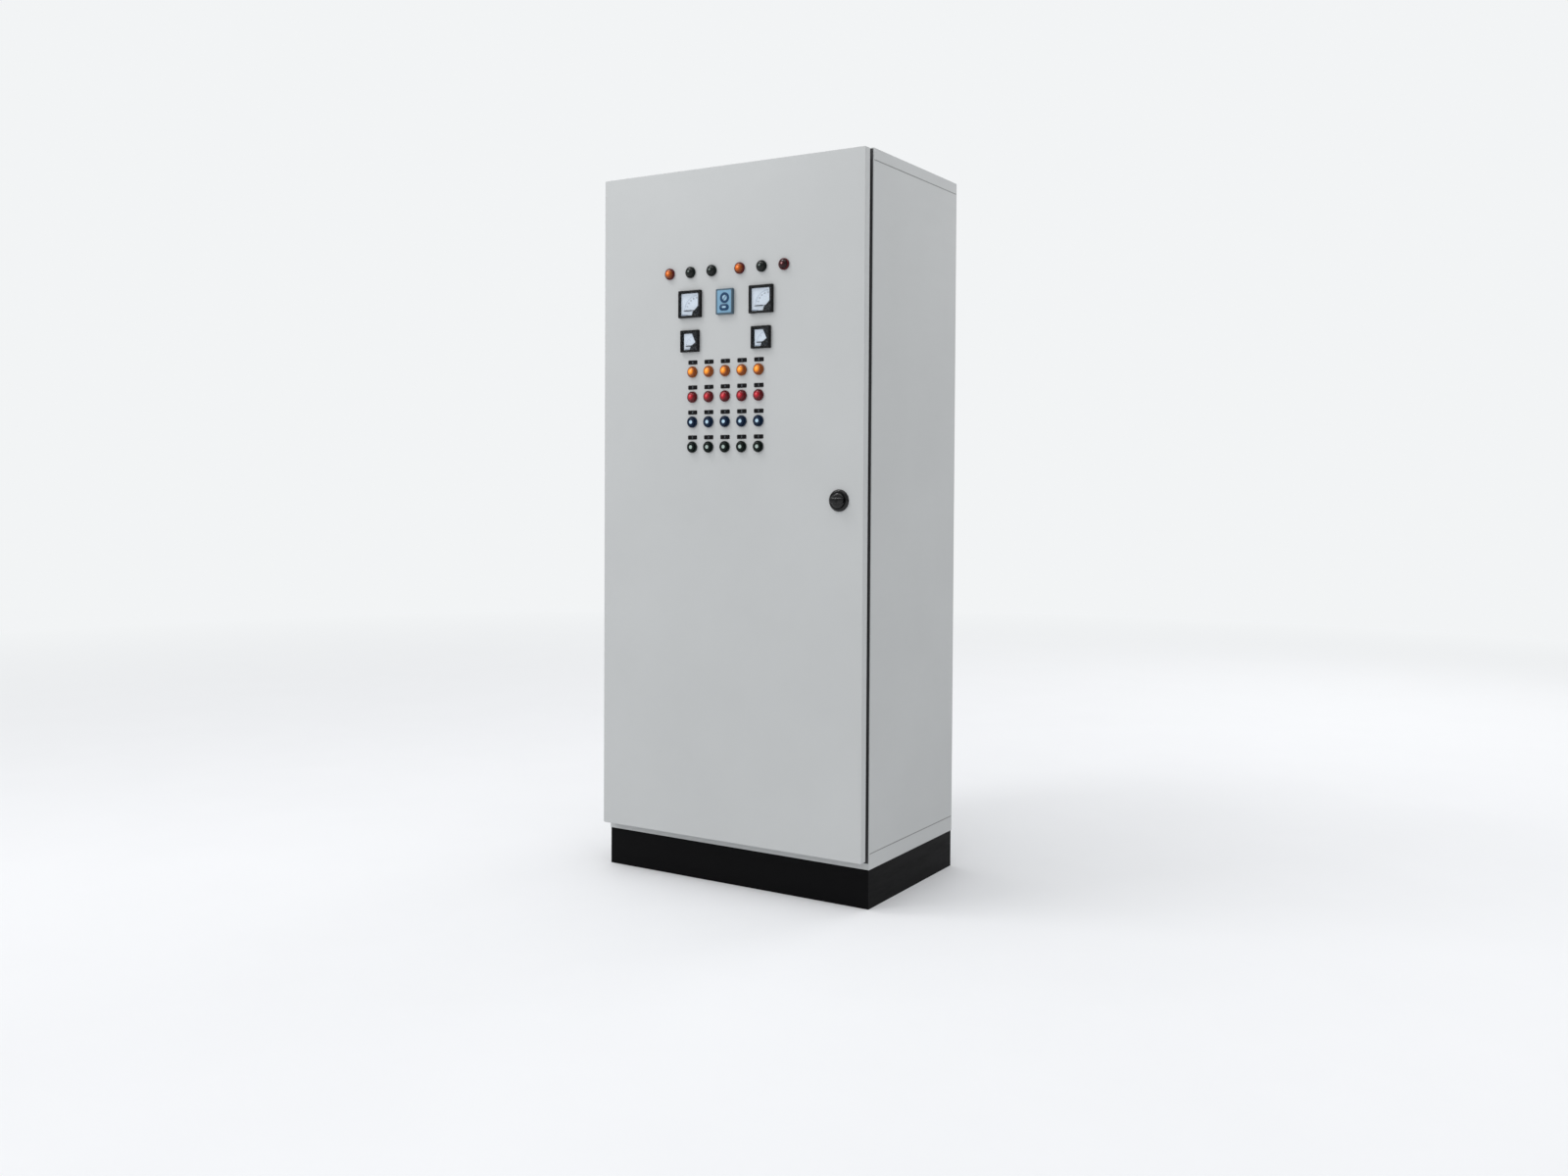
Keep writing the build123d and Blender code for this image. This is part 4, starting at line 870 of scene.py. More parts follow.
@dataclass(frozen=True)
class Ceramic:
    """Glazed or dull moulded body with small dark specks."""

    name: str
    colour: Colour
    roughness: float = 0.3

    def material(self, effects: Effects) -> Material:
        """Builds the material.

        Args:
            effects: The shared node groups.

        Returns:
            The finished material.
        """
        coat = Coat(self.name)
        cloud = coat.use(effects.cloud, Colour=self.colour, Size=25.0, Depth=0.1)
        specks = coat.spread(coat.noise(coat.place, 420.0, 1.0), 0.7, 0.78, 0.0, 0.5)
        pebble = coat.use(effects.pebble, Grain=1500.0, Waves=200.0)
        inputs = {
            "Base Color": coat.mix(specks, cloud["Colour"], SPECK),
            "Roughness": coat.spread(cloud["Mask"], 0.0, 1.0, self.roughness, self.roughness + 0.12),
        }
        return coat.finish(inputs, pebble["Height"], 0.2, 0.03)


class Finishes:
    """Every finish of the cabinet, by the record's slot names and by its own."""

    def __init__(self) -> None:
        """Builds the shared effects and the materials."""
        self.effects = Effects()
        recipes = [
            Enamel("grey_enamel", (0.535, 0.547, 0.549), (0.74, 0.75, 0.75), 0.5, specular=0.3),
            Enamel("black_enamel", (0.003, 0.003, 0.0034), (0.05, 0.05, 0.05),
                   0.5, 0.4, 0.1, 0.35, 0.06, 0.06),
            BareMetal("galvanised", (0.62, 0.64, 0.66), (0.5, 0.52, 0.54), 0.5, Lay.SPANGLED),
            BareMetal("zinc_steel", (0.66, 0.65, 0.62), (0.4, 0.4, 0.39), 0.34, along=(40.0, 40.0, 2.0)),
            BareMetal("copper", (0.78, 0.38, 0.22), (0.42, 0.17, 0.09), 0.32),
            Moulding("foam", (0.02, 0.02, 0.021), 0.85, 0.9),
            Moulding("black_plastic", (0.003, 0.003, 0.0035), 0.3, 0.2, 0.06, 0.03, 0.2),
            Moulding("gloss_black", (0.002, 0.002, 0.0025), 0.25, 0.1, 0.05, 0.0, 0.16),
            Moulding("joint_grey", (0.3, 0.305, 0.305), 0.7, 0.4, 0.0, 0.1, 0.2),
            Moulding("gap_shade_dark", (0.05, 0.05, 0.052), 0.75, 0.5, 0.0, 0.1, 0.2),
            Moulding("lock_black", (0.0015, 0.0015, 0.002), 0.16, 0.05, 0.1, 0.0, 0.35),
            Moulding("duct_grey", (0.3, 0.32, 0.35), 0.5),
            Moulding("device_grey", (0.2, 0.215, 0.23), 0.45),
            Moulding("pale_grey", (0.55, 0.56, 0.55), 0.45),
            Moulding("slate", (0.075, 0.125, 0.165), 0.35, 0.15, 0.1, 0.02, 0.25),
            Ceramic("ceramic_cream", (0.62, 0.56, 0.44)),
            Moulding("insulator_red", (0.28, 0.035, 0.02), 0.35),
            Moulding("terminal_beige", (0.5, 0.44, 0.33), 0.5),
            Moulding("dial_white", (0.74, 0.82, 0.92), 0.5, 0.1, 0.0, 0.0, 0.2),
            Moulding("dial_ink", (0.03, 0.05, 0.09), 0.5, 0.1, 0.0, 0.0),
            Moulding("dial_faint", (0.2, 0.28, 0.42), 0.5, 0.1, 0.0, 0.0, 0.2),
            ClearPane("clear_window"),
            Moulding("screen_blue", (0.2, 0.385, 0.55), 0.3, 0.05, 0.1, 0.0, 0.25),
            Moulding("navy", (0.014, 0.055, 0.13), 0.3, 0.1, 0.05, 0.0, 0.2),
            Moulding("pale_blue", (0.36, 0.56, 0.72), 0.3, 0.05, 0.1, 0.0, 0.25),
            LampGlass("amber_lens", (1.0, 0.42, 0.08), (0.8, 0.24, 0.012), (0.16, 0.035, 0.004),
                      (0.95, 0.28, 0.04), (0.5, 0.1, 0.006), 0.35),
            LampGlass("red_lens", (0.6, 0.08, 0.09), (0.3, 0.003, 0.012), (0.07, 0.001, 0.003),
                      (0.45, 0.14, 0.14), (0.03, 0.001, 0.003), 0.35),
            LampGlass("green_lens", (0.06, 0.13, 0.09), (0.006, 0.035, 0.02), (0.001, 0.004, 0.003),
                      (0.2, 0.24, 0.22), (0.0015, 0.007, 0.005), 0.1),
            Moulding("reset_blue", (0.002, 0.014, 0.042), 0.28, 0.1, 0.05, 0.0, 0.16),
            Moulding("start_green", (0.001, 0.006, 0.0045), 0.28, 0.1, 0.05, 0.0, 0.16),
            Moulding("reset_cap", (0.5, 0.7, 0.85), 0.28, 0.1, 0.1, 0.0, 0.3),
            Moulding("start_cap", (0.42, 0.52, 0.48), 0.28, 0.1, 0.1, 0.0, 0.3),
            Moulding("amber_rim", (0.24, 0.06, 0.006), 0.3, 0.1, 0.05, 0.0, 0.2),
            Moulding("red_rim", (0.085, 0.002, 0.005), 0.3, 0.1, 0.05, 0.0, 0.2),
            Moulding("pointer_black", (0.006, 0.01, 0.016), 0.45, 0.1, 0.0, 0.0, 0.2),
            Moulding("label_black", (0.002, 0.002, 0.003), 0.4, 0.15, 0.0, 0.0, 0.12),
            Moulding("label_pale", (0.07, 0.08, 0.09), 0.45, 0.15, 0.0, 0.0, 0.2),
            Moulding("signal_red", (0.45, 0.02, 0.015), 0.35),
            Moulding("signal_blue", (0.02, 0.09, 0.3), 0.35),
        ]
        self.by_name = {recipe.name: recipe.material(self.effects) for recipe in recipes}

    def __getitem__(self, name: str) -> Material:
        """Gives a finish by its name."""
        return self.by_name[name]

    def dress_frame(self) -> None:
        """Gives every CAD node the finish of its own slot."""
        for shown in frame["nodes"].values():
            for place in shown.material_slots:
                place.material = self.by_name[place.material.name.split(".")[0]]
        LOG.info("dressed %d CAD nodes", len(frame["nodes"]))


# ---- Sub-assemblies ----
def on_plate(spans: Sequence[Span]) -> list[Matrix]:
    """Places a shape at the back of each solid, facing the front."""
    return [facing(span.mid.x, span.mid.z, span.hi.y) for span in spans]


@dataclass
class SubAssembly:
    """What every sub-assembly is given: the finishes, and Y of the door's face in metres."""

    finishes: Finishes
    face: float

    def start(self, name: str, *finishes: str) -> Piece:
        """Starts a piece with its finishes in order."""
        return Piece(name, *[self.finishes[finish] for finish in finishes])

    def on_door(self, spans: Sequence[Span]) -> list[Matrix]:
        """Places a shape on the door's face in front of each solid."""
        return [facing(span.mid.x, span.mid.z, self.face) for span in spans]


# ---- Body ----
@dataclass
class RearScrews(SubAssembly):
    """The pan-head screws of the rear panel, with cross recesses."""

    head_radius: float = 5.5
    head_height: float = 3.0
    slot: float = 1.2
    shank_radius: float = 2.9

    def build(self) -> None:
        """Makes every screw in place of the plain ones."""
        piece = self.start("rear_screws", "zinc_steel")
        spans = solids_of("panel_screws")
        length = spans[0].size.y - self.head_height
        seat = spans[0].hi.y - self.head_height * MM
        places = [
            Matrix.Translation((span.mid.x, seat, span.mid.z)) @ Matrix.Rotation(-QUARTER_TURN, 4, "X")
            for span in spans
        ]
        piece.add(screw_head(self.head_radius, self.head_height, self.slot), places)
        shank = [(0, -length), (self.shank_radius, -length), (self.shank_radius, 0), (0, 0)]
        piece.add(lathe(shank, 12), places)
        piece.build("cabinet", "zinc_steel", "panel_screws")


@dataclass
class Gasket(SubAssembly):
    """The foamed seal behind the door: a soft bead with a crowned back."""

    width: float = 14.0
    corner: float = 8.0
    crown: float = 2.5

    def build(self) -> None:
        """Makes the bead as one closed ring."""
        span = span_of("door_gasket")
        across, depth, tall = span.size
        shape = block(across, tall, depth, 0.0, self.corner, 1)
        shape.normal_update()
        ends = [face for face in shape.faces if abs(face.normal.z) > 0.9]
        bmesh.ops.inset_individual(
            shape, faces=ends, thickness=self.width * MM, depth=0, use_even_offset=True
        )
        loops = [edge for face in ends for edge in face.edges]
        bmesh.ops.delete(shape, geom=ends, context="FACES_ONLY")
        bmesh.ops.bridge_loops(shape, edges=loops)
        bmesh.ops.recalc_face_normals(shape, faces=shape.faces)
        rims = [e for e in shape.edges if all(abs(v.co.z) < SAME_POINT for v in e.verts)
                and e.calc_face_angle(0) > 1.0]
        round_edges(shape, rims, self.crown, 3)
        piece = self.start("door_seal", "foam")
        piece.add(shape, [facing(span.mid.x, span.mid.z, span.hi.y)])
        piece.build("door", "foam", "door_gasket")


@dataclass
class GapShadeStrip(SubAssembly):
    """A dark strip on the body's front edge, in the gap behind the closed door: painted shade that darkens
    the gap where the door shadows it.
    """

    width: float = 12.0
    thickness: float = 0.9
    margin: float = 2.0
    hinge_side: float = 24.0
    under_door: float = 6.0

    def build(self) -> None:
        """Makes the upright, the lower and the upper strip."""
        body, door = span_of("side_panel_right"), span_of("door_leaf")
        right = body.hi.x / MM - self.margin - self.width / 2
        left = door.lo.x / MM + self.hinge_side
        low = door.lo.z / MM - self.under_door + self.width / 2
        high = door.hi.z / MM - self.width / 2
        front = span_of("roof_panel").lo.y - 0.05 * MM
        # The strips are dark as painted shade in the door's gap.
        piece = self.start("gap_shade_strip", "gap_shade_dark")
        upright = block(self.width, high - low + self.width, self.thickness, 0.3)
        piece.add(upright, [facing(right * MM, (low + high) / 2 * MM, front)])
        length = right - self.width / 2 - left - 0.1
        level = block(length, self.width, self.thickness, 0.3)
        piece.add(level, [facing((left + length / 2) * MM, z * MM, front) for z in (low, high)])
        piece.build("cabinet", "foam")


@dataclass
class PanelJoints(SubAssembly):
    """The sealant beads where the side panels meet the roof cap and the base ring."""

    width: float = 2.6
    proud: float = 0.35
    inset: float = 3.0

    def build(self) -> None:
        """Makes a bead along both sides at the top and at the bottom."""
        roof = span_of("roof_panel")
        panel = span_of("side_panel_right")
        length = panel.size.y - 2 * self.inset
        piece = self.start("panel_joints", "joint_grey")
        bead = block(length, self.width, 2 * self.proud, 0.3)
        places = []
        for side in (-1, 1):
            way = Matrix.Rotation(side * QUARTER_TURN, 4, "Z") @ Matrix.Rotation(QUARTER_TURN, 4, "X")
            for z in (roof.lo.z, panel.lo.z):
                spot = Matrix.Translation((side * (roof.hi.x - self.proud * MM), panel.mid.y, z))
                places.append(spot @ way)
        piece.add(bead, places)
        piece.build("cabinet", "grey_enamel")


# ---- Lamps, push buttons and labels ----
def paint_glow_and_shade_rings(
    made: bpy.types.Object, spans: Sequence[Span], radius: float, unlit_above: float
) -> None:
    """Writes each corner's distance from a point up and left of its lamp's middle, and whether the lamp is
    lit.

    Args:
        made: The object to write to.
        spans: The boxes of the lamps.
        radius: Radius at which the ring value is one.
        unlit_above: Height above which lamps are off, in metres.
    """
    made.data.attributes.new("ring", "FLOAT", "POINT")
    made.data.attributes.new("lit", "FLOAT", "POINT")
    ring = made.data.attributes["ring"]
    lit = made.data.attributes["lit"]
    # The point sits up and to the left, so each lens gets a painted highlight there and painted shade
    # towards the lower right.
    highlight_centres = [span.mid + Vector((-2.0 * MM, 0, 1.6 * MM)) for span in spans]
    for index, vert in enumerate(made.data.vertices):
        near = min(highlight_centres, key=lambda m: (m.x - vert.co.x) ** 2 + (m.z - vert.co.z) ** 2)
        away = math.hypot(near.x - vert.co.x, near.z - vert.co.z)
        ring.data[index].value = min(1.0, away / (radius * MM))
        lit.data[index].value = 0.0 if near.z > unlit_above else 1.0


@dataclass
class LampHeads(SubAssembly):
    """The domed lenses of the lamps, with an inner step above a skirt."""

    radius: float = 11.7
    seat: float = 2.0
    edge: float = 7.5
    top: float = 11.5
    unlit_above: float = UPPER_ROW

    def profile(self) -> list[Point]:
        """Outline of one lens from its back to the top of the dome.

        Returns:
            Radius and height of each corner.
        """
        crown = self.top - self.edge
        points = [(0.0, self.seat), (self.radius - 0.4, self.seat), (self.radius, self.seat + 0.4)]
        points += [(self.radius, self.edge - 0.6), (self.radius - 0.5, self.edge)]
        for step in range(1, 9):
            turn = step / 9 * QUARTER_TURN
            points.append(((self.radius - 0.9) * math.cos(turn), self.edge + crown * math.sin(turn)))
        return points + [(0.0, self.top)]

    def build(self) -> None:
        """Makes one piece of lenses for each colour."""
        for colour in ("amber", "red", "green"):
            node = f"{colour}_lenses"
            spans = solids_of(node)
            piece = self.start(f"{colour}_lamp_domes", f"{colour}_lens")
            piece.add(lathe(self.profile(), 36), self.on_door(spans))
            made = piece.build("door", f"{colour}_lens", node)
            paint_glow_and_shade_rings(made, spans, self.radius, self.unlit_above)


@dataclass
class HeadRings(SubAssembly):
    """The round bezels of every lamp and button, each moulded in its device's colour."""

    outer: float = 15.0
    seat: float = 12.0
    bore: float = 9.0
    neck: float = 11.0
    height: float = 6.0
    shelf: float = 2.0
    neck_length: float = 18.0
    upper_row: float = UPPER_ROW

    def profile(self) -> list[Point]:
        """Closed outline: rolled front lip, seat, shelf, and a threaded neck behind the door.

        Returns:
            Radius and height of each corner.
        """
        lip = [(self.bore, self.shelf), (self.seat, self.shelf), (self.seat, self.height - 0.9)]
        lip += [(self.seat + 0.5, self.height - 0.2), (self.seat + 1.2, self.height)]
        lip += [(self.outer - 1.2, self.height - 0.15), (self.outer - 0.35, self.height - 0.8)]
        lip += [(self.outer, self.height - 1.8), (self.outer, 0.5), (self.outer - 0.5, 0.0)]
        lip.append((self.neck, 0.0))
        thread = []
        for turn in range(8):
            low = -2.0 * turn - 1.0
            thread += [(self.neck, low), (self.neck - 0.6, low - 0.6), (self.neck, low - 1.2)]
        return lip + thread + [(self.neck, -self.neck_length), (self.bore, -self.neck_length)]

    def build(self) -> None:
        """Makes every ring, coloured by the device that sits in it."""
        colours = ["amber_rim", "red_rim", "start_green", "reset_blue"]
        piece = self.start("device_rings", *colours)
        warm = solids_of("amber_lenses") + solids_of("red_lenses")
        upper = [span for span in warm if span.mid.z > self.upper_row]
        owners = [
            (0, [span for span in solids_of("amber_lenses") if span not in upper]),
            (1, [span for span in solids_of("red_lenses") if span not in upper] + upper),
            (2, solids_of("green_lenses") + [span_of(f"start_button_{i}") for i in range(1, 6)]),
            (3, [span_of(f"reset_button_{i}") for i in range(1, 6)]),
        ]
        for finish, spans in owners:
            places = self.on_door(spans)
            piece.add(lathe(self.profile(), 36, ring=True), places, finish)
        piece.build("door", "gloss_black", "device_bezels")


@dataclass
class PushButtons(SubAssembly):
    """The ten push buttons: a dark cap with a pale dished insert, on its sliding stem."""

    cap_radius: float = 11.4
    face_height: float = 10.0
    cap_height: float = 3.5
    insert_radius: float = 5.0
    dish: float = 0.8
    stem_radius: float = 8.95
    stem_end: float = -13.0

    def cap_profile(self) -> list[Point]:
        """Outline of the cap and stem, open at the insert.

        Returns:
            Radius and height of each corner.
        """
        top = self.face_height
        low = top - self.cap_height
        points = [(0.0, top - self.dish - 0.4), (self.insert_radius, top - self.dish - 0.4)]
        points += [(self.insert_radius, top - 0.35), (self.insert_radius + 0.35, top)]
        points += [(self.cap_radius - 1.4, top), (self.cap_radius - 0.5, top - 0.3)]
        points += [(self.cap_radius, top - 1.0), (self.cap_radius, low), (self.stem_radius, low)]
        return points + [(self.stem_radius, self.stem_end), (0.0, self.stem_end)]

    def insert_profile(self) -> list[Point]:
        """Outline of the pale insert, hollowed where a finger rests.

        Returns:
            Radius and height of each corner.
        """
        floor = self.face_height - self.dish
        edge = self.insert_radius - 0.1
        return [(0.0, floor - 0.3), (edge, floor - 0.3), (edge, floor + 0.35), (edge - 0.5, floor + 0.45),
                (0.6 * edge, floor + 0.12), (0.3 * edge, floor), (0.0, floor)]

    def build(self) -> None:
        """Makes each button as its own piece on its own body."""
        kinds = (("reset", "reset_blue", "reset_cap"), ("start", "start_green", "start_cap"))
        for kind, dark, pale in kinds:
            for number in range(1, 6):
                node = f"{kind}_button_{number}"
                middle = span_of(node).mid
                place = [facing(middle.x, middle.z, self.face)]
                piece = self.start(f"{node}_cap", dark, pale)
                piece.add(lathe(self.cap_profile(), 36), place)
                piece.add(lathe(self.insert_profile(), 36), place, 1)
                piece.build(node, dark, node)


@dataclass
class LabelPlates(SubAssembly):
    """The label holders over the matrix: two dark fields on a backing with a paler middle."""

    field_width: float = 12.2
    middle_width: float = 3.4
    backing: float = 0.9

    def build(self) -> None:
        """Makes every label in one piece."""
        spans = solids_of("label_plates")
        size = spans[0].size
        places = self.on_door(spans)
        piece = self.start("label_holders", "label_black", "label_pale")
        piece.add(block(size.x, size.z, self.backing, 0.25, 2.2, 1), places)
        offset = (size.x - self.field_width) / 2 - 0.5
        for side in (-1, 1):
            field = block(self.field_width, size.z - 1.6, size.y, 0.3, 2.6, 1)
            piece.add(turned(field, shift(side * offset)), places)
        piece.add(block(self.middle_width, size.z - 4.5, self.backing + 0.3, 0.2), places, 1)
        piece.build("door", "label_black", "label_plates")


@dataclass
class ContactBlocks(SubAssembly):
    """Lamp holders and contact blocks behind the door: collar, two-part body and terminals."""

    collar_outer: float = 14.0
    collar_inner: float = 11.3
    sheet: float = 2.0
    neck: float = 18.0
    terminal_radius: float = 3.2
    terminal_step: float = 3.0
    terminal_inset: float = 7.0

    def build(self) -> None:
        """Makes every block in one piece."""
        spans = solids_of("contact_blocks")
        places = self.on_door(spans)
        width, height = spans[0].size.x, spans[0].size.z
        depth = (spans[0].hi.y - self.face) / MM - self.neck
        piece = self.start(
            "contact_block_set", "device_grey", "gloss_black", "zinc_steel"
        )
        collar = [(self.collar_inner, -self.sheet), (self.collar_inner, -self.neck),
                  (self.collar_outer, -self.neck), (self.collar_outer, -self.sheet - 1.0),
                  (self.collar_outer - 1.0, -self.sheet)]
        piece.add(lathe(collar, 12, ring=True), places, 1)
        backwards = Matrix.Rotation(HALF_TURN, 4, "Y")
        for side in (-1, 1):
            half = tray(width / 2 - 0.3, height, depth - self.terminal_step, 2.4, 0.8, 0.7)
            piece.add(turned(half, shift(side * width / 4, 0, -self.neck) @ backwards), places)
            ends = block(width / 2 - 2.4, 9.0, 2.6, 0.5)
            for end in (-1, 1):
                level = -self.neck - depth + self.terminal_step
                up = end * (height / 2 - self.terminal_inset)
                foot = shift(side * width / 4, up, level) @ backwards
                piece.add(turned(ends.copy(), foot), places)
                screw = screw_head(self.terminal_radius, 0.9, 0.7)
                piece.add(turned(screw, foot @ shift(0, 0, 2.1)), places, 2)
            ends.free()
        piece.build("door", "device_grey", "contact_blocks")


# ---- Instruments ----
@dataclass(frozen=True)
class MeterFace:
    """The outlines of one kind of meter, as parts of the half width of its recess."""

    dial: tuple[Point, ...]
    masks: tuple[tuple[Point, ...], ...]
    pivot: Point
    reach: float
    figures: tuple[str, ...]


BIG_FACE = MeterFace(
    dial=((-0.97, 0.93), (0.80, 0.93), (0.80, -0.16), (0.30, -0.66), (0.20, -0.97), (-0.97, -0.97)),
    masks=(((1, -0.23), (0.33, -0.66), (0.23, -1), (1, -1)),),
    pivot=(0.69, -0.56),
    reach=1.41,
    figures=("0", "10", "20", "30", "40", "50"),
)
SMALL_FACE = MeterFace(
    dial=((-0.85, 0.85), (0.21, 0.85), (0.68, -0.13), (0.17, -0.51), (-0.04, -0.96), (-0.85, -0.96)),
    masks=(((1, -0.26), (0.21, -0.51), (0, -1), (1, -1)), ((1, 1), (0.26, 1), (1, 0.04))),
    pivot=(0.60, -0.55),
    reach=1.23,
    figures=("0", "5", "10"),
)


@dataclass
class PanelMeters(SubAssembly):
    """The four square meters: case, dial with its scale, window and pointer."""

    border: float = 5.5
    bezel: float = 8.0
    floor: float = 1.0
    dial: float = 1.0
    mask_level: float = 5.0
    pane_level: float = 6.4
    step: float = 3.0
    ink: float = 0.12
    pointer_level: float = 3.2
    arc_reach: float = 0.92
    sweep: float = 86
    scale_lean: float = 2
    long_tick: float = 0.12
    short_tick: float = 0.07
    figure_size: float = 0.17

    def meters(self) -> list[tuple[Span, MeterFace, float]]:
        """Each meter's box, its outlines and the half width of its recess."""
        sizes = [(s, s.size.x) for s in solids_of("meter_cases")]
        return [(s, BIG_FACE if x > METER_SPLIT else SMALL_FACE, x / 2 - self.border) for s, x in sizes]

    def build(self) -> None:
        """Makes the cases, dials and windows on the door and a pointer on each of its bodies."""
        cases = self.start("meter_housings", "gloss_black", "black_plastic", "zinc_steel")
        dials = self.start("meter_scales", "dial_white", "dial_ink", "dial_faint")
        panes = self.start("meter_panes", "clear_window")
        for number, (span, outline, well) in enumerate(self.meters(), 1):
            place = facing(span.mid.x, span.mid.z, self.face)
            self.add_case(cases, span, outline, well, place)
            self.add_dial(dials, outline, well, place)
            pane = block(2 * well - 0.1, 2 * well - 0.1, 1.0, 0.0)
            panes.add(pane, [place @ shift(z=self.pane_level)])
            self.build_pointer(number, outline, well, place)
        cases.build("door", "gloss_black", "meter_cases")
        dials.build("door", "dial_white", "meter_dials")
        panes.build("door", "clear_window", "meter_windows")

    def add_case(
        self, piece: Piece, span: Span, outline: MeterFace, well: float, place: Matrix
    ) -> None:
        """Adds a bezel with its recess, masks, body and terminal studs.

        Args:
            piece: The piece to add to.
            span: The meter's box.
            outline: The meter's outlines.
            well: Half the width of the recess.
            place: Where the meter sits.
        """
        size = span.size.x
        rim = [(size / 2, self.floor), (self.border, self.floor), (self.border, self.bezel - 1.4),
               (self.border - 1.0, self.bezel - 0.5), (2.4, self.bezel - 0.5), (1.9, self.bezel),
               (1.0, self.bezel), (0.3, self.bezel - 0.3), (0, self.bezel - 1.0), (0, 0), (size / 2, 0)]
        piece.add(framed(size, size, rim, 1.8), [place])
        for corner in outline.masks:
            points = [(x * (well - 0.1), z * (well - 0.1)) for x, z in corner]
            piece.add(cut_sheet(points, 1.0, 0.2), [place @ shift(z=self.mask_level)])
        hub = [(0, 0), (2.6, 0), (2.6, 0.3), (2.2, 0.6), (0, 0.6)]
        screw_x, screw_z = outline.pivot
        dot = place @ shift(screw_x * well, screw_z * well, self.mask_level + 1.0)
        piece.add(lathe(hub, 20), [dot], 1)
        depth = (span.hi.y - self.face) / MM
        body = size - 2 * self.step
        back = place @ Matrix.Rotation(HALF_TURN, 4, "Y")
        piece.add(tray(body, body, depth, 4.0, 1.2, 1.0, 3.0), [back], 1)
        nut = lathe([(0, 0), (4.2, 0), (4.2, 2.6), (2.2, 2.6), (2.2, 4.6), (0, 4.6)], 6)
        studs = [back @ shift(side * size / 5, 0, depth - 4.7) for side in (-1, 1)]
        piece.add(nut, studs, 2)

    def add_dial(self, piece: Piece, outline: MeterFace, well: float, place: Matrix) -> None:
        """Adds a dial plate with its printed arc, ticks, figures and rule.

        Args:
            piece: The piece to add to.
            outline: The meter's outlines.
            well: Half the width of the recess.
            place: Where the meter sits.
        """
        points = [(x * well, z * well) for x, z in outline.dial]
        piece.add(cut_sheet(points, self.dial), [place @ shift(z=self.floor)])
        level = self.floor + self.dial
        centre = place @ shift(outline.pivot[0] * well, outline.pivot[1] * well, level)
        radius = outline.reach * well * self.arc_reach
        self.add_arc(piece, centre, radius, 0.35, 0.06)
        count = 5 * (len(outline.figures) - 1)
        for index in range(count + 1):
            angle = math.radians(90 + self.sweep * (1 - index / count) + self.scale_lean)
            major = index % 5 == 0
            length = (self.long_tick if major else self.short_tick) * well
            tick = cut_sheet([(0, -0.18), (length, -0.18), (length, 0.18), (0, 0.18)], self.ink)
            spot = centre @ Matrix.Rotation(angle, 4, "Z") @ shift(radius - length)
            piece.add(tick, [spot], 1 if major else 2)
            if major:
                figure = outline.figures[index // 5]
                self.add_figure(piece, figure, centre, radius - 1.9 * length, angle, well)
        low = -0.93 * well if outline is BIG_FACE else -0.9 * well
        long, tall = 0.62 * well, 0.05 * well
        rule = cut_sheet([(0, 0), (long, 0), (long, tall), (0, tall)], self.ink)
        piece.add(rule, [place @ shift(outline.dial[0][0] * well + 2.0, low, level)], 2)

    def add_arc(self, piece: Piece, centre: Matrix, radius: float, width: float, lean: float) -> None:
        """Adds the thin printed arc from level to upright.

        Args:
            piece: The piece to add to.
            centre: The arc's centre.
            radius: Radius of its inner edge.
            width: Width of the line.
            lean: Turn left free at each end, in radians.
        """
        shape = bmesh.new()
        inner = shape.verts.new((0, radius * MM, 0))
        outer = shape.verts.new((0, (radius + width) * MM, 0))
        edge = shape.edges.new((inner, outer))
        bmesh.ops.spin(
            shape, geom=[inner, outer, edge], cent=(0, 0, 0), axis=(0, 0, 1),
            angle=QUARTER_TURN - lean, steps=24,
        )
        grown = bmesh.ops.extrude_face_region(shape, geom=shape.faces[:], use_keep_orig=True)
        raised = [item for item in grown["geom"] if isinstance(item, bmesh.types.BMVert)]
        bmesh.ops.translate(shape, vec=(0, 0, self.ink * MM), verts=raised)
        bmesh.ops.recalc_face_normals(shape, faces=shape.faces)
        piece.add(shape, [centre], 2)

    def add_figure(
        self, piece: Piece, figure: str, centre: Matrix, radius: float, angle: float, well: float
    ) -> None:
        """Adds one printed figure beside its tick.

        Args:
            piece: The piece to add to.
            figure: The digits.
            centre: The scale's centre.
            radius: Distance of the figure from it.
            angle: Direction of the tick, in radians.
            well: Half the width of the recess.
        """
        curve = bpy.data.curves.new("figure", "FONT")
        curve.body = figure
        curve.size = self.figure_size * well * MM
        curve.align_x = "CENTER"
        curve.align_y = "CENTER"
        curve.extrude = self.ink * MM / 2
        carrier = bpy.data.objects.new("figure", curve)
        mesh = bpy.data.meshes.new_from_object(carrier)
        shape = bmesh.new()
        shape.from_mesh(mesh)
        spot = centre @ shift(radius * math.cos(angle), radius * math.sin(angle), self.ink / 2)
        piece.add(shape, [spot], 1)
        bpy.data.objects.remove(carrier)
        bpy.data.meshes.remove(mesh)
        bpy.data.curves.remove(curve)

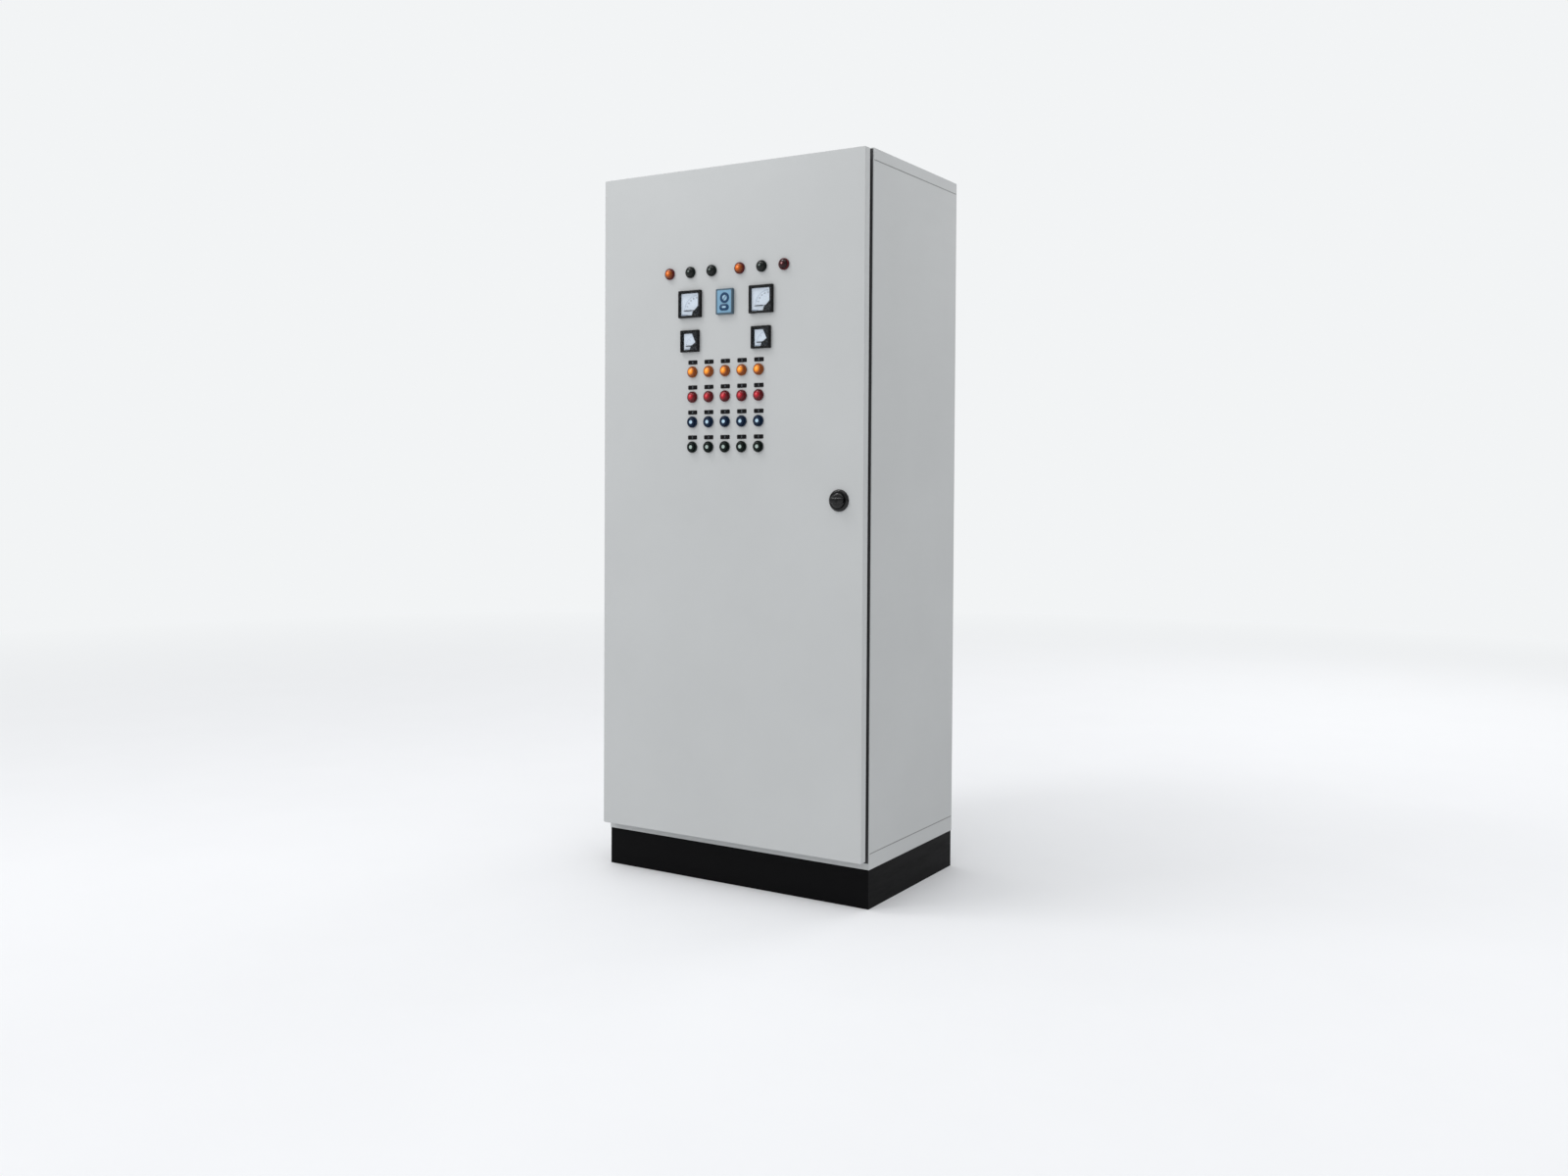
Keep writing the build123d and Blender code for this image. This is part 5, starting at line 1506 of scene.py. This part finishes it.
    def build_pointer(self, number: int, outline: MeterFace, well: float, place: Matrix) -> None:
        """Makes a lance pointer with its hub, tail and shaft.

        Args:
            number: The meter's number.
            outline: The meter's outlines.
            well: Half the width of the recess.
            place: Where the meter sits.
        """
        node = f"meter_pointer_{number}"
        reach = outline.reach * well
        centre = place @ shift(outline.pivot[0] * well, outline.pivot[1] * well, self.pointer_level)
        blade = [(0, -0.5), (-0.35 * reach, -0.5), (-0.4 * reach, -1.3), (-0.9 * reach, -1.0), (-reach, 0),
                 (-0.9 * reach, 1.0), (-0.4 * reach, 1.3), (-0.35 * reach, 0.5), (0, 0.5)]
        piece = self.start(f"{node}_blade", "pointer_black")
        piece.add(cut_sheet(blade, 0.6, 0.1), [centre])
        hub = [(0, 0), (3.4, 0), (3.5, 0.3), (3.2, 0.8), (1.6, 1.1), (0, 1.2)]
        piece.add(lathe(hub, 24), [centre])
        piece.add(lathe([(0, -5.7), (1.0, -5.7), (1.0, 0), (0, 0)], 12), [centre])
        piece.build(node, "pointer_black", node)


@dataclass
class Controller(SubAssembly):
    """The controller between the big meters: frame, screen, ring with its mark and a painted highlight on
    the mark, and oval key.
    """

    frame_height: float = 9.0
    border: float = 4.0
    corner: float = 2.5
    ring_radius: float = 14.0
    ring_width: float = 6.4
    ring_x: float = 1.9
    ring_z: float = 9.3
    key_width: float = 29.0
    key_height: float = 16.5
    key_z: float = -15.5
    key_x: float = 0.8
    mark_lean: float = -0.7
    strip_x: float = 11.0

    def build(self) -> None:
        """Makes the case and the screen with its two controls."""
        span = span_of("controller_case")
        width, height = span.size.x, span.size.z
        place = facing(span.mid.x, span.mid.z, self.face)
        case = self.start("controller_housing", "slate", "device_grey", "start_cap")
        top = self.frame_height
        rim = [(width / 2, top - 2.0), (self.border, top - 2.0), (self.border - 0.6, top), (1.2, top),
               (0.4, top - 0.4), (0, top - 1.2), (0, 0), (width / 2, 0)]
        case.add(framed(width, height, rim, self.corner), [place])
        depth = (span.hi.y - self.face) / MM
        back = place @ Matrix.Rotation(HALF_TURN, 4, "Y")
        case.add(tray(width - 6.0, height - 6.0, depth, 5.0, 1.5, 1.0, 2.0), [back], 1)
        strip = block(8.0, height - 22.0, 1.4, 0.4)
        case.add(strip, [back @ shift(side * self.strip_x, 0, depth - 1.5) for side in (-1, 1)], 2)
        case.build("door", "device_grey", "controller_case")
        screen = self.start("controller_face", "screen_blue", "navy", "pale_blue")
        level = self.frame_height - 0.5
        plate = block(width - 2 * self.border, height - 2 * self.border, 1.5, 0.3, 1.6, 1)
        screen.add(plate, [place @ shift(z=level - 1.5)])
        inner = self.ring_radius - self.ring_width
        hoop = [(inner, 0), (inner, 0.9), (inner + 0.8, 1.5), (self.ring_radius - 0.9, 1.5),
                (self.ring_radius, 0.7), (self.ring_radius, 0)]
        centre = place @ shift(self.ring_x, self.ring_z, level)
        screen.add(lathe(hoop, 48, ring=True), [centre], 1)
        screen.add(lathe([(0, 0), (inner - 0.4, 0), (inner - 0.6, 0.5), (0, 0.7)], 36), [centre], 2)
        mark = block(2.6, 2 * inner - 2.0, 1.3, 0.4)
        screen.add(mark, [centre @ Matrix.Rotation(self.mark_lean, 4, "Z")], 1)
        # A pale strip along the mark: a painted highlight.
        painted_highlight_strip = block(1.2, 2 * inner - 5.0, 1.6, 0.3)
        screen.add(painted_highlight_strip, [centre @ Matrix.Rotation(self.mark_lean, 4, "Z")], 2)
        oval = block(self.key_width, self.key_height, 1.4, 0.6, self.key_height / 2 - 0.2, 2)
        screen.add(oval, [place @ shift(self.key_x, self.key_z, level)], 1)
        lens = block(self.key_width * 0.42, self.key_height * 0.3, 0.5, 0.2, self.key_height * 0.14, 1)
        screen.add(lens, [place @ shift(self.key_x, self.key_z + 0.5, level + 1.3)], 2)
        screen.build("door", "screen_blue", "controller_screen")


# ---- Lock ----
@dataclass
class LockSet(SubAssembly):
    """The rosette and the turning knob of the door's lock."""

    rosette_radius: float = 28.0
    rosette_height: float = 6.0
    knob_radius: float = 19.0
    knob_disc: float = 6.0
    lift: float = 0.3
    bore: float = 6.05
    bore_depth: float = 7.5
    wing_length: float = 39.0
    wing_width: float = 15.0
    wing_height: float = 11.0
    wing_edge: float = 2.5

    def build(self) -> None:
        """Makes the rosette on the door and the knob on the lock's body."""
        middle = span_of("lock_rosette").mid
        place = facing(middle.x, middle.z, self.face)
        outer, top = self.rosette_radius, self.rosette_height
        ring = [(6.3, 0), (6.3, top - 0.6), (7.0, top), (20.2, top), (20.8, top - 0.9), (21.6, top - 0.9),
                (22.2, top), (outer - 4.2, top - 0.1), (outer - 2.2, top - 0.9), (outer - 0.8, top - 2.4),
                (outer, top - 4.4), (outer, 0.6), (outer - 0.4, 0)]
        piece = self.start("lock_plate", "lock_black")
        piece.add(lathe(ring, 64, ring=True), [place])
        piece.build("door", "black_plastic", "lock_rosette")
        low = top + self.lift
        disc_top = low + self.knob_disc
        knob = [(self.bore, low), (self.knob_radius - 0.6, low), (self.knob_radius, low + 0.6),
                (self.knob_radius, disc_top - 3.4), (self.knob_radius - 0.6, disc_top - 2.2),
                (self.knob_radius - 2.0, disc_top - 1.0), (self.knob_radius - 4.2, disc_top - 0.2),
                (self.knob_radius - 6.0, disc_top), (self.bore, disc_top)]
        piece = self.start("lock_wing", "lock_black", "black_plastic")
        piece.add(lathe(knob, 56, ring=True), [place])
        piece.add(self.wing(), [place @ shift(z=low + self.bore_depth)])
        for side in (-1, 1):
            room = self.wing_length / 2 - self.bore
            foot = block(room - 0.2, self.wing_width, self.bore_depth, 0.0)
            along = [e for e in foot.edges if abs(e.verts[0].co.z - e.verts[1].co.z) > 0.002
                     and side * e.verts[0].co.x > 0]
            round_edges(foot, along, self.wing_width / 2 - 0.5, 7)
            piece.add(foot, [place @ shift(side * (self.bore + room / 2 + 0.1), 0, low)])
        cap = lathe([(0, 0), (5.4, 0), (5.4, 0.25), (4.9, 0.5), (0, 0.55)], 32)
        piece.add(cap, [place @ shift(z=low + self.wing_height - 0.1)], 1)
        piece.build("lock", "black_plastic", "lock_knob")

    def wing(self) -> Shape:
        """The grip above the spindle: rounded ends and a softened top.

        Returns:
            The shape.
        """
        height = self.wing_height - self.bore_depth
        wing = block(self.wing_length, self.wing_width, height, 0.0, self.wing_width / 2 - 0.5, 2)
        top = [e for e in wing.edges if all(abs(v.co.z - height * MM) < SAME_LEVEL for v in e.verts)]
        round_edges(wing, top, self.wing_edge, 4)
        return wing


# ---- Switchgear ----
@dataclass
class WiringDucts(SubAssembly):
    """Slotted wiring ducts with finger walls and clipped lids."""

    levels: tuple[float, ...] = (1800.0, 1505.0, 1265.0, 985.0, 710.0, 530.0)
    width: float = 40.0
    wall: float = 2.0
    finger: float = 8.0
    gap: float = 4.5
    lid: float = 2.0
    web: float = 12.0
    lip: float = 8.0
    skirt: float = 1.2
    end_gap: float = 1.0

    def build(self) -> None:
        """Makes every duct in one piece."""
        piece = self.start("slotted_ducts", "duct_grey")
        span = span_of("wiring_ducts")
        depth = span.size.y - self.lid
        across = span.size.x - 2 * self.width
        for level in self.levels:
            self.add_duct(piece, facing(span.mid.x, level * MM, span.hi.y), across, depth)
        upright = Matrix.Rotation(QUARTER_TURN, 4, "Z")
        for side in (-1, 1):
            x = span.mid.x + side * (across + self.width) / 2 * MM
            self.add_duct(piece, facing(x, span.mid.z, span.hi.y) @ upright, span.size.z, depth)
        piece.build("cabinet", "duct_grey", "wiring_ducts")

    def add_duct(self, piece: Piece, place: Matrix, length: float, depth: float) -> None:
        """Adds one duct with its lid.

        Args:
            piece: The piece to add to.
            place: The middle of its back, with +X along it.
            length: Its length.
            depth: Its depth under the lid.
        """
        piece.add(block(length, self.width, self.wall, 0.0), [place])
        pitch = self.finger + self.gap
        count = int((length - self.gap) // pitch)
        first = -(count - 1) / 2 * pitch
        for side in (-1, 1):
            edge = side * (self.width - self.wall) / 2
            piece.add(block(length, self.wall, self.web, 0.0), [place @ shift(0, edge)])
            finger = block(self.finger, self.wall, depth - self.web, 0.0)
            tips = [e for e in finger.edges if abs(e.verts[0].co.y - e.verts[1].co.y) > 0.001
                    and e.verts[0].co.z > 0.01]
            round_edges(finger, tips, 1.6, 1)
            piece.add(finger, [place @ shift(first + i * pitch, edge, self.web) for i in range(count)])
            skirt = block(length - self.end_gap, self.skirt, self.lip, 0.0)
            edge -= side * (self.wall / 2 + 0.8)
            piece.add(skirt, [place @ shift(0, edge, depth - self.lip)])
        piece.add(block(length - self.end_gap, self.width, self.lid, 0.5), [place @ shift(z=depth)])


@dataclass
class MainBreaker(SubAssembly):
    """The moulded-case breaker: body, nose with the lever's slot and terminal shields."""

    slot_width: float = 20.0
    slot_height: float = 44.0
    nose_height: float = 70.0
    nose_depth: float = 8.0
    lever_width: float = 12.0
    lever_length: float = 36.0
    rest_turn: float = 25.0
    well_depth: float = 28.0
    pole_pitch: float = 33.0
    shield_inset: float = 23.0

    def build(self) -> None:
        """Makes the breaker on the cabinet and its lever on its own body."""
        span = span_of("main_breaker")
        width, depth, height = span.size
        place = facing(span.mid.x, span.mid.z, span.hi.y)
        piece = self.start(
            "main_breaker_case", "device_grey", "pale_grey", "gloss_black",
            "zinc_steel", "signal_red",
        )
        body_depth = depth - self.nose_depth
        floor = depth - self.well_depth
        piece.add(block(width, height, floor, 1.0, 3.0, 1), [place])
        margin = (height - self.slot_height) / 2
        side_width = (width - self.slot_width) / 2
        for side in (-1, 1):
            upper = block(width, margin, body_depth - floor, 1.0)
            piece.add(upper, [place @ shift(0, side * (self.slot_height + margin) / 2, floor)])
            flank = block(side_width, self.slot_height, body_depth - floor, 0.6)
            piece.add(flank, [place @ shift(side * (self.slot_width + side_width) / 2, 0, floor)])
            nose = block(side_width, self.nose_height, self.nose_depth, 1.4, 2.0, 2)
            piece.add(nose, [place @ shift(side * (self.slot_width + side_width) / 2, 0, body_depth)])
            rest = (self.nose_height - self.slot_height) / 2
            bridge = block(self.slot_width + 2, rest, self.nose_depth - 0.3, 0.8)
            piece.add(bridge, [place @ shift(0, side * (self.slot_height + rest) / 2, body_depth)])
            for pole in (-1, 0, 1):
                shield = tray(28.0, 34.0, 1.6, 4.0, 0.9, 0.6, 1.5)
                up = side * (height / 2 - self.shield_inset)
                spot = place @ shift(pole * self.pole_pitch, up, body_depth - 0.2)
                piece.add(shield, [spot])
                screw = screw_head(4.0, 1.6, 1.0)
                piece.add(screw, [spot @ shift(0, 0, 0.6)], 3)
        plate = block(side_width - 12, 26, 0.5, 0.15)
        piece.add(plate, [place @ shift(-(self.slot_width + side_width) / 2, 12, depth)], 1)
        test = lathe([(0, 0), (3.2, 0), (3.2, 1.0), (2.7, 1.5), (0, 1.6)], 24)
        piece.add(test, [place @ shift((self.slot_width + side_width) / 2, -20, depth)], 4)
        piece.build("cabinet", "device_grey", "main_breaker")
        self.build_lever()

    def build_lever(self) -> None:
        """Makes the lever, switched off."""
        joint = next(j for j in frame["joints"] if j["name"] == "main_breaker_switch")
        off = Matrix.Rotation(math.radians(self.rest_turn), 4, "X")
        axis = Matrix.Translation(joint["pos_m"]) @ off
        piece = self.start("breaker_toggle", "gloss_black", "pale_grey")
        drum = lathe([(0, -9), (7.4, -9), (8, -8.4), (8, 8.4), (7.4, 9), (0, 9)], 32)
        piece.add(drum, [axis @ Matrix.Rotation(QUARTER_TURN, 4, "Y")])
        arm = block(self.lever_width, 6.0, self.lever_length, 0.0, 1.2, 1)
        tip = [e for e in arm.edges if all(v.co.z > (self.lever_length - 0.1) * MM for v in e.verts)]
        round_edges(arm, tip, 1.2, 2)
        piece.add(arm, [axis @ Matrix.Rotation(QUARTER_TURN, 4, "X")])
        mark = block(self.lever_width * 0.6, 0.5, 8.0, 0.1)
        out = axis @ Matrix.Rotation(QUARTER_TURN, 4, "X") @ shift(0, 3.0, self.lever_length - 12)
        piece.add(mark, [out], 1)
        piece.build("breaker_lever", "black_plastic", "main_breaker_lever")


@dataclass
class Busbars(SubAssembly):
    """Three copper bars with rounded edges and the bolts of their joints."""

    edge: float = 1.0
    bolt: float = 6.0
    bolts: int = 5
    bare_ends: float = 140.0

    def build(self) -> None:
        """Makes the bars with their bolts."""
        piece = self.start("copper_bars", "copper", "zinc_steel")
        for span in solids_of("busbars"):
            length, thick, width = span.size
            place = facing(span.mid.x, span.mid.z, span.hi.y)
            piece.add(block(length, width, thick, self.edge), [place])
            pitch = (length - self.bare_ends) / (self.bolts - 1)
            washer = lathe([(0, 0), (6.6, 0), (6.6, 1.0), (0, 1.0)], 20)
            head = [(0, 1.0), (self.bolt, 1.0), (self.bolt, 4.4), (self.bolt - 0.8, 5.0), (0, 5.0)]
            first = (self.bare_ends - length) / 2
            spots = [place @ shift(first + i * pitch, 0, thick) for i in range(self.bolts)]
            piece.add(washer, spots, 1)
            piece.add(lathe(head, 6), spots, 1)
        piece.build("cabinet", "copper", "busbars")


@dataclass
class Fuses(SubAssembly):
    """Fuse links: glazed bodies with metal caps, blades and a red indicator."""

    body_width: float = 24.0
    body_height: float = 54.0
    body_depth: float = 30.0
    blade: float = 2.0
    blade_depth: float = 16.0
    cap: float = 2.2
    dot_height: float = 14.0

    def build(self) -> None:
        """Makes every fuse link in one piece."""
        piece = self.start(
            "fuse_link_set", "ceramic_cream", "zinc_steel", "signal_red"
        )
        spans = solids_of("fuse_links")
        places = on_plate(spans)
        height = spans[0].size.z
        tall = self.body_height - 2 * self.cap
        piece.add(block(self.body_width - 1.0, tall, self.body_depth, 0.0, 3.0, 1), places)
        for side in (-1, 1):
            plate = block(self.body_width, self.cap, self.body_depth, 0.5)
            end = side * (self.body_height - self.cap) / 2
            piece.add(plate, [p @ shift(0, end) for p in places], 1)
            reach = (height - self.body_height) / 2
            blade = block(self.blade, reach, self.blade_depth, 0.3)
            piece.add(blade, [p @ shift(0, side * (self.body_height + reach) / 2) for p in places], 1)
        dot = lathe([(0, 0), (1.8, 0), (1.6, 0.5), (0, 0.7)], 12)
        piece.add(dot, [p @ shift(0, self.dot_height, self.body_depth - 0.1) for p in places], 2)
        piece.build("cabinet", "ceramic_cream", "fuse_links")


@dataclass
class Starters(SubAssembly):
    """Contactors and the overload relays that hang from them."""

    contactor_step: float = 30.0
    nose_height: float = 55.0
    contactor_pitch: float = 13.5
    relay_pitch: float = 13.0
    knob_x: float = -9.0
    upper_row: float = 14.0
    lower_row: float = -17.0
    sunk: float = 0.8

    def terminal_row(
        self, piece: Piece, places: Sequence[Matrix], y: float, level: float, pitch: float
    ) -> None:
        """Adds three sunk terminals with their screws.

        Args:
            piece: The piece to add to.
            places: Where each device sits.
            y: Height of the row from the device's middle.
            level: Depth at which the row lies.
            pitch: Distance between terminals.
        """
        for pole in (-1, 0, 1):
            cup = lathe([(3.4, 0), (3.4, 1.2), (4.6, 1.2), (4.8, 0.9), (4.8, 0)], 16, ring=True)
            piece.add(cup, [p @ shift(pole * pitch, y, level) for p in places], 2)
            screw = screw_head(3.2, 0.8, 0.7)
            piece.add(screw, [p @ shift(pole * pitch, y, level) for p in places], 1)

    def build(self) -> None:
        """Makes the contactors and the relays."""
        wears = ("device_grey", "zinc_steel", "gloss_black", "pale_grey")
        spans = solids_of("contactors")
        places = on_plate(spans)
        width, depth, height = spans[0].size
        piece = self.start("contactor_set", *wears)
        piece.add(block(width, height, depth - self.contactor_step, 0.8, 1.5, 1), places)
        nose = tray(width, self.nose_height, self.contactor_step, 3.0, 1.0, 0.9, 1.5)
        piece.add(nose, [p @ shift(z=depth - self.contactor_step) for p in places])
        bridge = block(14.0, 22.0, 2.2, 0.6)
        piece.add(bridge, [p @ shift(0, 4.0, depth - 1.1) for p in places], 2)
        tag = block(20.0, 8.0, 1.0, 0.2)
        piece.add(tag, [p @ shift(0, self.lower_row, depth - 1.1) for p in places], 3)
        for side in (-1, 1):
            row = side * (height + self.nose_height) / 4
            self.terminal_row(piece, places, row, depth - self.contactor_step, self.contactor_pitch)
        piece.build("cabinet", "device_grey", "contactors")
        spans = solids_of("overload_relays")
        places = on_plate(spans)
        width, depth, height = spans[0].size
        wears = (
            "gloss_black", "zinc_steel", "device_grey", "pale_grey",
            "signal_blue", "signal_red",
        )
        piece = self.start("relay_set", *wears)
        piece.add(tray(width, height, depth, 2.6, 0.8, 0.9, 1.5), places)
        knob = lathe([(0, 0), (6.5, 0), (6.5, 0.8), (5.2, 1.6), (0, 1.6)], 24)
        piece.add(knob, [p @ shift(self.knob_x, self.upper_row, depth - self.sunk) for p in places], 3)
        groove = block(1.2, 8.0, 0.6, 0.1)
        on_knob = shift(self.knob_x, self.upper_row, depth + 0.7) @ Matrix.Rotation(0.5, 4, "Z")
        piece.add(groove, [p @ on_knob for p in places])
        for x, finish in ((5, 4), (13, 5)):
            stud = lathe([(0, 0), (2.8, 0), (2.8, 1.2), (2.3, 1.7), (0, 1.8)], 16)
            piece.add(stud, [p @ shift(x, self.upper_row, depth - self.sunk) for p in places], finish)
        self.terminal_row(piece, places, self.lower_row, depth - self.sunk, self.relay_pitch)
        piece.build("cabinet", "device_grey", "overload_relays")


@dataclass
class Terminals(SubAssembly):
    """The row of rail terminals, each with a stepped body and two sunk screws."""

    count: int = 30
    every: int = 10
    crown_depth: float = 14.0
    crown_step: float = 22.0
    clearance: float = 0.25
    screw_inset: float = 5.5

    def build(self) -> None:
        """Makes the row in one piece."""
        span = span_of("terminal_blocks")
        length, depth, height = span.size
        width = length / self.count
        piece = self.start(
            "terminal_row", "terminal_beige", "zinc_steel", "pale_grey",
            "signal_blue",
        )
        first = facing(span.lo.x + width * MM / 2, span.mid.z, span.hi.y)
        plain = [i for i in range(self.count) if i % self.every]
        marked = [i for i in range(self.count) if not i % self.every]
        low = depth - self.crown_depth
        for indices, finish in ((plain, 0), (marked, 3)):
            places = [first @ shift(i * width) for i in indices]
            across = width - self.clearance
            piece.add(block(across, height, low, 0.3, segments=1), places, finish)
            crown = block(across, height - self.crown_step, self.crown_depth, 0.8, segments=1)
            piece.add(crown, [p @ shift(z=low) for p in places], finish)
        places = [first @ shift(i * width) for i in range(self.count)]
        for side in (-1, 1):
            head = lathe([(0, 0), (2.6, 0), (2.6, 0.8), (0, 0.9)], 10)
            row = side * (height / 2 - self.screw_inset)
            piece.add(head, [p @ shift(0, row, low) for p in places], 1)
        strip = block(width - 1.2, 6.0, 0.5, 0.1, segments=1)
        piece.add(strip, [p @ shift(z=depth) for p in places], 2)
        piece.build("cabinet", "terminal_beige", "terminal_blocks")


# ---- Studio ----
@dataclass
class Studio:
    """The plain floor, the soft lights and the camera."""

    camera_at: tuple[float, float, float] = (2.049, -3.336, 1.066)
    yaw: float = 31.65
    pitch: float = -1.29
    roll: float = 0.315
    lens: float = 32.22
    shift_x: float = 0.0024
    shift_y: float = -0.0463
    floor_radius: float = 60.0
    backdrop: Colour = (0.890, 0.905, 0.914)
    surround: float = 0.6
    overhead: float = 1.2
    softness: float = 75.0
    overhead_way: tuple[float, float, float] = (0.16, 0.3, -1.0)

    def build(self) -> None:
        """Makes the floor, world, lights and camera."""
        bpy.context.scene.view_settings.view_transform = "Standard"
        self.build_floor()
        self.build_world()
        self.add_sun()
        self.add_softbox("front_softbox", (-3.2, -4.4, 3.4), (-0.2, -0.3, 1.2), 1.6, 42.0)
        self.add_softbox("high_softbox", (-1.15, -1.15, 3.6), (0.1, -0.3, 1.1), 0.6, 16.0)
        self.add_softbox("side_softbox", (4.6, 0.6, 3.0), (0.3, 0.0, 1.0), 2.0, 8.0)
        self.add_softbox("rear_softbox", (1.5, 5.0, 3.4), (0.0, 0.2, 1.0), 3.0, 50.0)
        self.build_camera()

    def build_floor(self) -> None:
        """A wide round floor that fades into the backdrop."""
        shape = bmesh.new()
        bmesh.ops.create_circle(shape, cap_ends=True, segments=96, radius=self.floor_radius)
        mesh = bpy.data.meshes.new("studio_floor")
        shape.to_mesh(mesh)
        shape.free()
        tree = Coat("studio_floor")
        inputs = {0: tree.place}
        away = tree.node("ShaderNodeVectorMath", inputs, operation="LENGTH").outputs["Value"]
        speckle = tree.spread(tree.noise(tree.place, 3.0, 4.0), 0.3, 0.7, 0.0, 1.0)
        tone = tree.mix(speckle, (0.845, 0.85, 0.868), (0.855, 0.86, 0.878))
        inputs = {"Base Color": tone, "Roughness": 0.6, "Specular IOR Level": 0.25}
        tree.join(tree.shader, inputs)
        bright = tree.node("ShaderNodeEmission", {"Color": rgba(self.backdrop), "Strength": 1.0})
        far = tree.spread(away, 2.5, 8.0, 0.0, 1.0)
        inputs = {0: far, 1: tree.shader.outputs[0], 2: bright.outputs[0]}
        joined = tree.node("ShaderNodeMixShader", inputs)
        output = next(node for node in tree.tree.nodes if node.type == "OUTPUT_MATERIAL")
        tree.join(output, {"Surface": joined.outputs[0]})
        mesh.materials.append(tree.material)
        floor = bpy.data.objects.new("studio_floor", mesh)
        bpy.context.scene.collection.objects.link(floor)

    def build_world(self) -> None:
        """An even pale surround."""
        world = bpy.data.worlds.new("studio")
        world.use_nodes = True
        bpy.context.scene.world = world
        backing = next(node for node in world.node_tree.nodes if node.type == "BACKGROUND")
        tree = Tree(world.node_tree)
        tree.join(backing, {"Color": self.backdrop})
        seen = tree.node("ShaderNodeLightPath").outputs["Is Camera Ray"]
        tree.join(backing, {"Strength": tree.spread(seen, 0.0, 1.0, self.surround, 1.0)})

    def add_sun(self) -> None:
        """Adds one very soft overhead light, even over the whole floor."""
        lamp = bpy.data.lights.new("overhead", "SUN")
        lamp.energy = self.overhead
        lamp.angle = math.radians(self.softness)
        made = bpy.data.objects.new("overhead", lamp)
        made.rotation_euler = Vector(self.overhead_way).to_track_quat("-Z", "Y").to_euler()
        bpy.context.scene.collection.objects.link(made)

    def add_softbox(
        self, name: str, at: tuple[float, float, float], aim: tuple[float, float, float],
        size: float, power: float,
    ) -> None:
        """Adds a square softbox.

        Args:
            name: The light's name.
            at: Where it stands.
            aim: The point it faces.
            size: Side of the softbox, in metres.
            power: Its power, in watts.
        """
        lamp = bpy.data.lights.new(name, "AREA")
        lamp.size = size
        lamp.energy = power
        made = bpy.data.objects.new(name, lamp)
        made.location = at
        made.rotation_euler = (Vector(aim) - Vector(at)).to_track_quat("-Z", "Y").to_euler()
        bpy.context.scene.collection.objects.link(made)

    def build_camera(self) -> None:
        """Sets the camera at the viewing angle."""
        data = bpy.data.cameras.new("camera")
        data.lens = self.lens
        data.shift_x = self.shift_x
        data.shift_y = self.shift_y
        data.clip_end = 200.0
        camera = bpy.data.objects.new("camera", data)
        turn = Matrix.Rotation(math.radians(self.yaw), 4, "Z")
        tilt = Matrix.Rotation(math.radians(90 + self.pitch), 4, "X")
        spin = Matrix.Rotation(math.radians(self.roll), 4, "Z")
        camera.matrix_world = Matrix.Translation(self.camera_at) @ turn @ tilt @ spin
        bpy.context.scene.collection.objects.link(camera)
        bpy.context.scene.camera = camera


def main() -> None:
    """Builds the studio and every sub-assembly."""
    logging.basicConfig(level=logging.INFO, format="%(name)s: %(message)s")
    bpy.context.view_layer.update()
    Studio().build()
    finishes = Finishes()
    finishes.dress_frame()
    face = span_of("door_leaf").lo.y
    for kind in (
        RearScrews, Gasket, GapShadeStrip, PanelJoints, LampHeads, HeadRings, PushButtons, LabelPlates,
        ContactBlocks, PanelMeters, Controller, LockSet, WiringDucts, MainBreaker, Busbars, Fuses,
        Starters, Terminals,
    ):
        kind(finishes, face).build()


if __name__ == "__main__":
    main()
